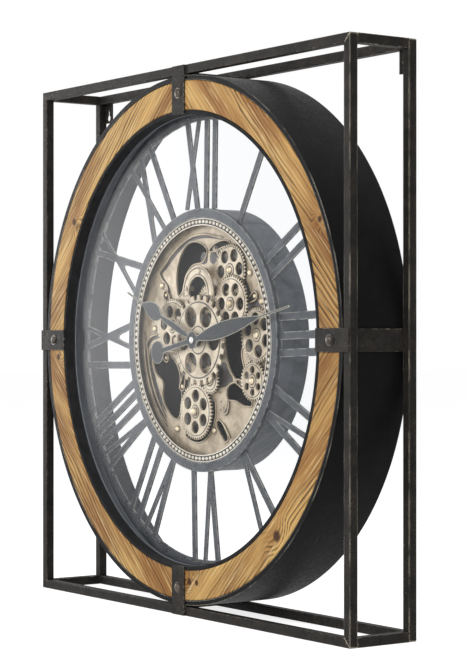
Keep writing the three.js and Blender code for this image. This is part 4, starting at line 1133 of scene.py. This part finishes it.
def hub(layer, front, tail_end):
    """A stepped hub in front of a wheel and its arbor behind."""
    back = FLOOR_DEPTH - 0.3
    profile = [(0, front + 0.8), (HUB_RADIUS - 0.4, front + 0.8), (HUB_RADIUS, front + 1.2),
               (HUB_RADIUS, layer), (HUB_RADIUS, back), (ARBOR_RADIUS, back), (ARBOR_RADIUS, tail_end),
               (0, tail_end)]
    return turned(profile, 32)


def thin_ring(outer, inner, front):
    return plate([circle(outer, 96), circle(inner, 96)], front, 0.3, 0.05, 0)


def build_wheel(name, angle=None, rise_of_hub=1, window=7, circle_radius=17.5, layer=GEAR_DEPTH,
                thickness=GEAR_THICKNESS, tail_end=FLOOR_BACK + 4, pinion=None):
    """A wheel with a raised web, round windows from a clock angle and a riveted hub."""
    wheel = WHEELS[name]
    root = pitch_radius(wheel["teeth"]) - DEDENDUM
    holes = [] if angle is None else windows(window, circle_radius, angle)
    web = root - RIM_WIDTH
    if holes:
        web = max(web, circle_radius + window + 0.7)
    teeth = gear_outline(wheel["teeth"], wheel["turn"])
    meshes = [
        plate([teeth] + holes, layer + WEB_STEP, thickness - WEB_STEP, 0.22),
        plate([circle(web, 96)] + holes, layer, WEB_STEP + 0.3, 0.2),
        collar(HUB_RADIUS, COLLAR_RADIUS, layer - 0.5, layer + 0.2, 0.25, 40),
        hub(layer, layer - rise_of_hub, tail_end),
    ]
    if pinion:
        behind = GEAR_DEPTH + GEAR_THICKNESS
        meshes.append(plate([gear_outline(*pinion)], behind, DEEP_DEPTH + DEEP_THICKNESS - behind, 0.2))
    # Thin dark rings at the foot of the collar and of the web's step: painted shade.
    lines = [thin_ring(COLLAR_RADIUS + 1.1, COLLAR_RADIUS - 0.1, layer - 0.1)]
    if root - web > 1:
        lines.append(thin_ring(web + 0.75, web - 0.1, layer + WEB_STEP - 0.12))
    front = layer - rise_of_hub
    rivet = [turned(dome(RIVET_RADIUS, 2.2, front - 1.6, front + 1), 28)]
    parts = (("gear", meshes, GOLD), ("lines", lines, PAINTED_SHADE), ("rivet", rivet, RIVET_GOLD))
    for part, group, material in parts:
        for mesh in group:
            moved(mesh, wheel["place"][0], 0, wheel["place"][1])
        piece(f"{name}_{part}", group, material, name if part == "gear" else None, body=name)


def build_train():
    build_wheel("left_wheel", 41, 2)
    build_wheel("lower_idler")
    build_wheel("lower_wheel", 1, 3, tail_end=DRIVEN_ARBOR_END)
    build_wheel("upper_idler")
    pinion_turn = beside(WHEELS["top_wheel"], PINION_TEETH, TOP_ANGLE - 180)["turn"]
    build_wheel("upper_wheel", 31, 2, pinion=(PINION_TEETH, pinion_turn))
    build_wheel("right_wheel", 50)
    build_wheel("small_wheel", 0, window=4, circle_radius=12)
    build_wheel("top_wheel", 26, layer=DEEP_DEPTH, thickness=DEEP_THICKNESS)


def crown_outline():
    """Coarse teeth with slanting flanks and soft corners."""
    pitch = 360 / CROWN_TEETH
    corners = ((CROWN_ROOT, -ROOT_SHARE), (CROWN_TIP, -TIP_SHARE), (CROWN_TIP, TIP_SHARE),
               (CROWN_ROOT, ROOT_SHARE))
    teeth = [polar(radius, pitch * (i + share)) for i in range(CROWN_TEETH) for radius, share in corners]
    return rounded(teeth, 1.2, 3)


def build_centre_wheel():
    """Coarse crown with six windows on a raised web, and the fine wheel behind it."""
    bore = circle(CENTRE_BORE, 32)
    holes = windows(CROWN_WINDOW, CROWN_WINDOW_CIRCLE, 30, 48)
    # Thin dark rings at the edges of the web and the collar: painted shade.
    lines = [thin_ring(CROWN_WEB + 1.4, CROWN_WEB - 0.1, CROWN_DEPTH + 0.36),
             thin_ring(CROWN_COLLAR + 1.4, CROWN_COLLAR - 0.1, CROWN_DEPTH - 0.1)]
    piece("crown_lines", lines, PAINTED_SHADE, body="centre_wheel")
    meshes = [
        plate([crown_outline(), bore] + holes, CROWN_DEPTH + 0.5, CROWN_THICKNESS - 0.5, 0.35),
        plate([circle(CROWN_WEB, 128), bore] + holes, CROWN_DEPTH, 1, 0.3),
        plate([circle(CROWN_HUB, 48), bore], CROWN_DEPTH + 1, GEAR_DEPTH - CROWN_DEPTH, 0.2),
        plate([circle(CROWN_COLLAR, 64), bore], CROWN_DEPTH - 0.25, 0.8, 0.25),
    ]
    piece("crown_wheel", meshes, GOLD, "centre_wheel", body="centre_wheel")
    # The fine wheel is painted in the crown's shadow.
    fine = plate([gear_outline(WHEELS["centre_wheel"]["teeth"], 0), bore], GEAR_DEPTH, GEAR_THICKNESS, 0.22)
    piece("centre_fine_gear", [fine], CROWN_SHADOW_GOLD, body="centre_wheel")


# Hands, whose outlines are drawn upright with the hub at (0, 0)
def leaf(start, end, half, neck, widest, steps=16):
    """Half outline of a leaf between two distances from the hub."""
    bend = math.log(0.5) / math.log(widest)
    points = []
    for i in range(1, steps):
        f = i / steps
        points.append((neck + (half - neck) * math.sin(math.pi * f**bend), start + (end - start) * f))
    return points


def mirrored(half):
    return half + [(-u, v) for u, v in reversed(half) if u > 0]


def tip(start, end):
    return [(TIP_HALF, start), (TIP_HALF, end - 1), (TIP_HALF / 2, end)]


def minute_outline():
    """Round counterweight on a thin neck, hub, leaf and long tip."""
    disc = math.degrees(math.asin(MINUTE_NECK / COUNTER_RADIUS))
    neck = math.degrees(math.asin(MINUTE_NECK / MINUTE_HUB))
    counterweight = arc(COUNTER_RADIUS, 180, disc, 20, (0, COUNTER_RISE))[1:]
    half = [(0, COUNTER_RISE - COUNTER_RADIUS)] + counterweight + arc(MINUTE_HUB, 180 - neck, neck, 20)
    half += leaf(MINUTE_HUB, MINUTE_LEAF_END, 9, 1.5, 0.42)
    return mirrored(half + tip(MINUTE_LEAF_END, MINUTE_LENGTH))


def hour_outline():
    """Hub, slim leaf, broad leaf and tip."""
    neck = math.degrees(math.asin(HOUR_NECK / HOUR_HUB))
    half = [(0, -HOUR_HUB)] + arc(HOUR_HUB, 180, neck, 20)[1:]
    half += leaf(HOUR_HUB, HOUR_WAIST, 4.2, HOUR_NECK, 0.5, 12) + [(HOUR_NECK, HOUR_WAIST)]
    half += leaf(HOUR_WAIST, HOUR_LEAF_END, 10, 1, 0.38, 14)
    return mirrored(half + tip(HOUR_LEAF_END, HOUR_LENGTH))


def build_hands():
    bore = circle(ARBOR_BORE, 24)
    minute = plate([turned_by(minute_outline(), MINUTE_ANGLE), bore], MINUTE_DEPTH, HAND_THICKNESS, 0.3)
    piece("minute_hand_blade", [minute], HAND_SLATE, "minute_hand", body="minute_hand")
    hour = plate([turned_by(hour_outline(), HOUR_ANGLE), bore], HOUR_DEPTH, HAND_THICKNESS, 0.3)
    pipe = collar(ARBOR_BORE, PIPE_RADIUS, HOUR_DEPTH + 0.6, PIPE_END, 0, 32)
    piece("hour_hand_blade", [hour, pipe], HAND_SLATE, "hour_hand", body="hour_hand")
    nut = turned(dome(NUT_RADIUS, 1.2, NUT_DEPTH, MINUTE_DEPTH), 32)
    piece("hand_cap", [nut], NUT_METAL, "hand_nut", body="minute_hand")
    front, back = MINUTE_DEPTH + HAND_THICKNESS, MINUTE_DEPTH + 1.5
    spindle = [(0, MINUTE_DEPTH), (SPINDLE_RADIUS, MINUTE_DEPTH), (SPINDLE_RADIUS, front),
               (FLANGE_RADIUS, front), (FLANGE_RADIUS, back), (SPINDLE_RADIUS, back),
               (SPINDLE_RADIUS, SPINDLE_END), (0, SPINDLE_END)]
    piece("minute_spindle", [turned(spindle, 24)], STEEL, "minute_arbor", body="minute_hand")


# Movement, motor drive and cells at the rear
def build_cases():
    """Cases with softened edges, and the knurled setting knob."""
    for node in ("movement", "gear_drive"):
        soften_node(node, BLACK_PLASTIC, 0.6)
    soften_node("drive_switch", SWITCH_PLASTIC, 0.3)
    knurl = [polar(KNOB_RADIUS + 0.28 * (i % 2), 360 * i / 96) for i in range(96)]
    low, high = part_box("setting_knob")
    rise = (low.z + high.z) / 2 / MM - HALF_SIDE
    front, back = low.y / MM - FRONT_PLANE, high.y / MM - FRONT_PLANE
    wheel = plate([knurl], back - KNOB_THICKNESS, KNOB_THICKNESS, 0.5, 2)
    shank = collar(0, KNOB_SHANK, front, back - 3, 0, 24)
    meshes = [moved(wheel, rise=rise), moved(shank, rise=rise)]
    piece("knob", meshes, BLACK_PLASTIC, "setting_knob", body="setting_knob")


def build_cells():
    """Cells of a dark jacket, a copper band and steel ends, turned along the depth and laid along x."""
    for node in ("movement_cell", "drive_cell_1", "drive_cell_2"):
        low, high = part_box(node)
        centre = (low + high) / 2
        radius = (high.y - low.y) / 2 / MM
        left, right = low.x / MM, high.x / MM
        band_start = left + BAND_START * (right - left)
        parts = (
            ("jacket", CELL_BLACK, [collar(0, radius, left + 0.3, band_start, 0.8, 40)]),
            ("band", CELL_COPPER, [collar(0, radius, band_start, right - 1, 0.8, 40)]),
            ("ends", STEEL, [collar(0, CELL_BUTTON, right - 1.5, right, 0.4, 24),
                             collar(0, CELL_BASE, left, left + 0.6, 0.2, 24)]),
        )
        place = Matrix.Translation(TO_ROW.inverted() @ Vector((0, centre.y, centre.z)))
        for part, material, meshes in parts:
            for mesh in meshes:
                mesh.transform(place @ Matrix.Rotation(-math.pi / 2, 4, "Z"))
            piece(f"{node}_{part}", meshes, material, node if part == "jacket" else None)


# Camera, lights and floor
CAMERA_PLACE = (1.8397, -1.2587, 0.3)
VIEW_DIRECTION = (-0.8184, 0.5746, 0)
FOCAL_PIXELS = 2018.36
PICTURE = (467, 665)
CENTRE_PIXEL = (233.82, 340.16)
SENSOR = 36
SOFT_LIGHT = 0.22
FLOOR_GLOW = 0.8
FLOOR_GREY = (0.85, 0.85, 0.85, 1)
WHITE = (1, 1, 1, 1)
MIDDLE = (0, 0, 0.3)


def build_camera():
    data = bpy.data.cameras.new("camera")
    data.sensor_fit = "VERTICAL"
    data.sensor_height = SENSOR
    data.lens = FOCAL_PIXELS * SENSOR / PICTURE[1]
    data.shift_x = -(CENTRE_PIXEL[0] - PICTURE[0] / 2) / PICTURE[1]
    data.shift_y = (CENTRE_PIXEL[1] - PICTURE[1] / 2) / PICTURE[1]
    camera = bpy.data.objects.new("camera", data)
    camera.location = CAMERA_PLACE
    camera.rotation_euler = Vector(VIEW_DIRECTION).to_track_quat("-Z", "Y").to_euler()
    bpy.context.scene.collection.objects.link(camera)
    bpy.context.scene.camera = camera


def build_world():
    """Weak soft light on the object, and white where camera, mirrors and glass see past it."""
    bpy.context.scene.view_settings.view_transform = "Standard"
    world = bpy.data.worlds.new("studio")
    world.use_nodes = True
    bpy.context.scene.world = world
    nodes = Nodes(world.node_tree)
    background = nodes.tree.nodes["Background"]
    background.inputs["Color"].default_value = WHITE
    strength = nodes.ramp(nodes.sees_backdrop(), 0, 1, SOFT_LIGHT, 1)
    nodes.tree.links.new(strength, background.inputs["Strength"])


def build_floor_plane():
    body = bmesh.new()
    bmesh.ops.create_grid(body, x_segments=1, y_segments=1, size=14)
    mesh = bpy.data.meshes.new("studio_floor")
    body.to_mesh(mesh)
    body.free()
    floor = bpy.data.objects.new("studio_floor", mesh)
    floor.location = (0, 0, -0.0005)
    finish = Finish("studio_floor", 0.9, 0, 0)
    finish.shader.inputs["Base Color"].default_value = FLOOR_GREY
    finish.shader.inputs["Emission Color"].default_value = WHITE
    finish.set("Emission Strength", finish.times(finish.sees_backdrop(), FLOOR_GLOW))
    mesh.materials.append(finish.material)
    bpy.context.scene.collection.objects.link(floor)


def area_light(name, place, size, energy, target=MIDDLE):
    data = bpy.data.lights.new(name, "AREA")
    data.shape = "RECTANGLE"
    data.size, data.size_y = size
    data.energy = energy
    light = bpy.data.objects.new(name, data)
    light.location = place
    light.rotation_euler = (Vector(target) - Vector(place)).to_track_quat("-Z", "Y").to_euler()
    bpy.context.scene.collection.objects.link(light)
    return light


def build_lights():
    area_light("key", (0.7, -2.6, 1.6), (1.4, 1.4), 36)
    area_light("fill", (2.7, -1.55, 0.8), (1.2, 1.4), 11)
    area_light("top", (0.5, 0.2, 2.2), (1.6, 1.0), 10)
    card = area_light("glass_card", (-1.45, -0.62, 0.5), (0.4, 0.8), 9, (-0.2, 0, 0.3))
    card.visible_diffuse = False


for build in (
    build_frame, build_strap_screws, build_drum, build_bezel, build_glass, build_wood, build_dial,
    build_housing, build_module_back, build_bead_ring, build_floor, build_arch, build_train,
    build_centre_wheel, build_hands, build_cases, build_cells, build_camera, build_world,
    build_floor_plane, build_lights,
):
    build()
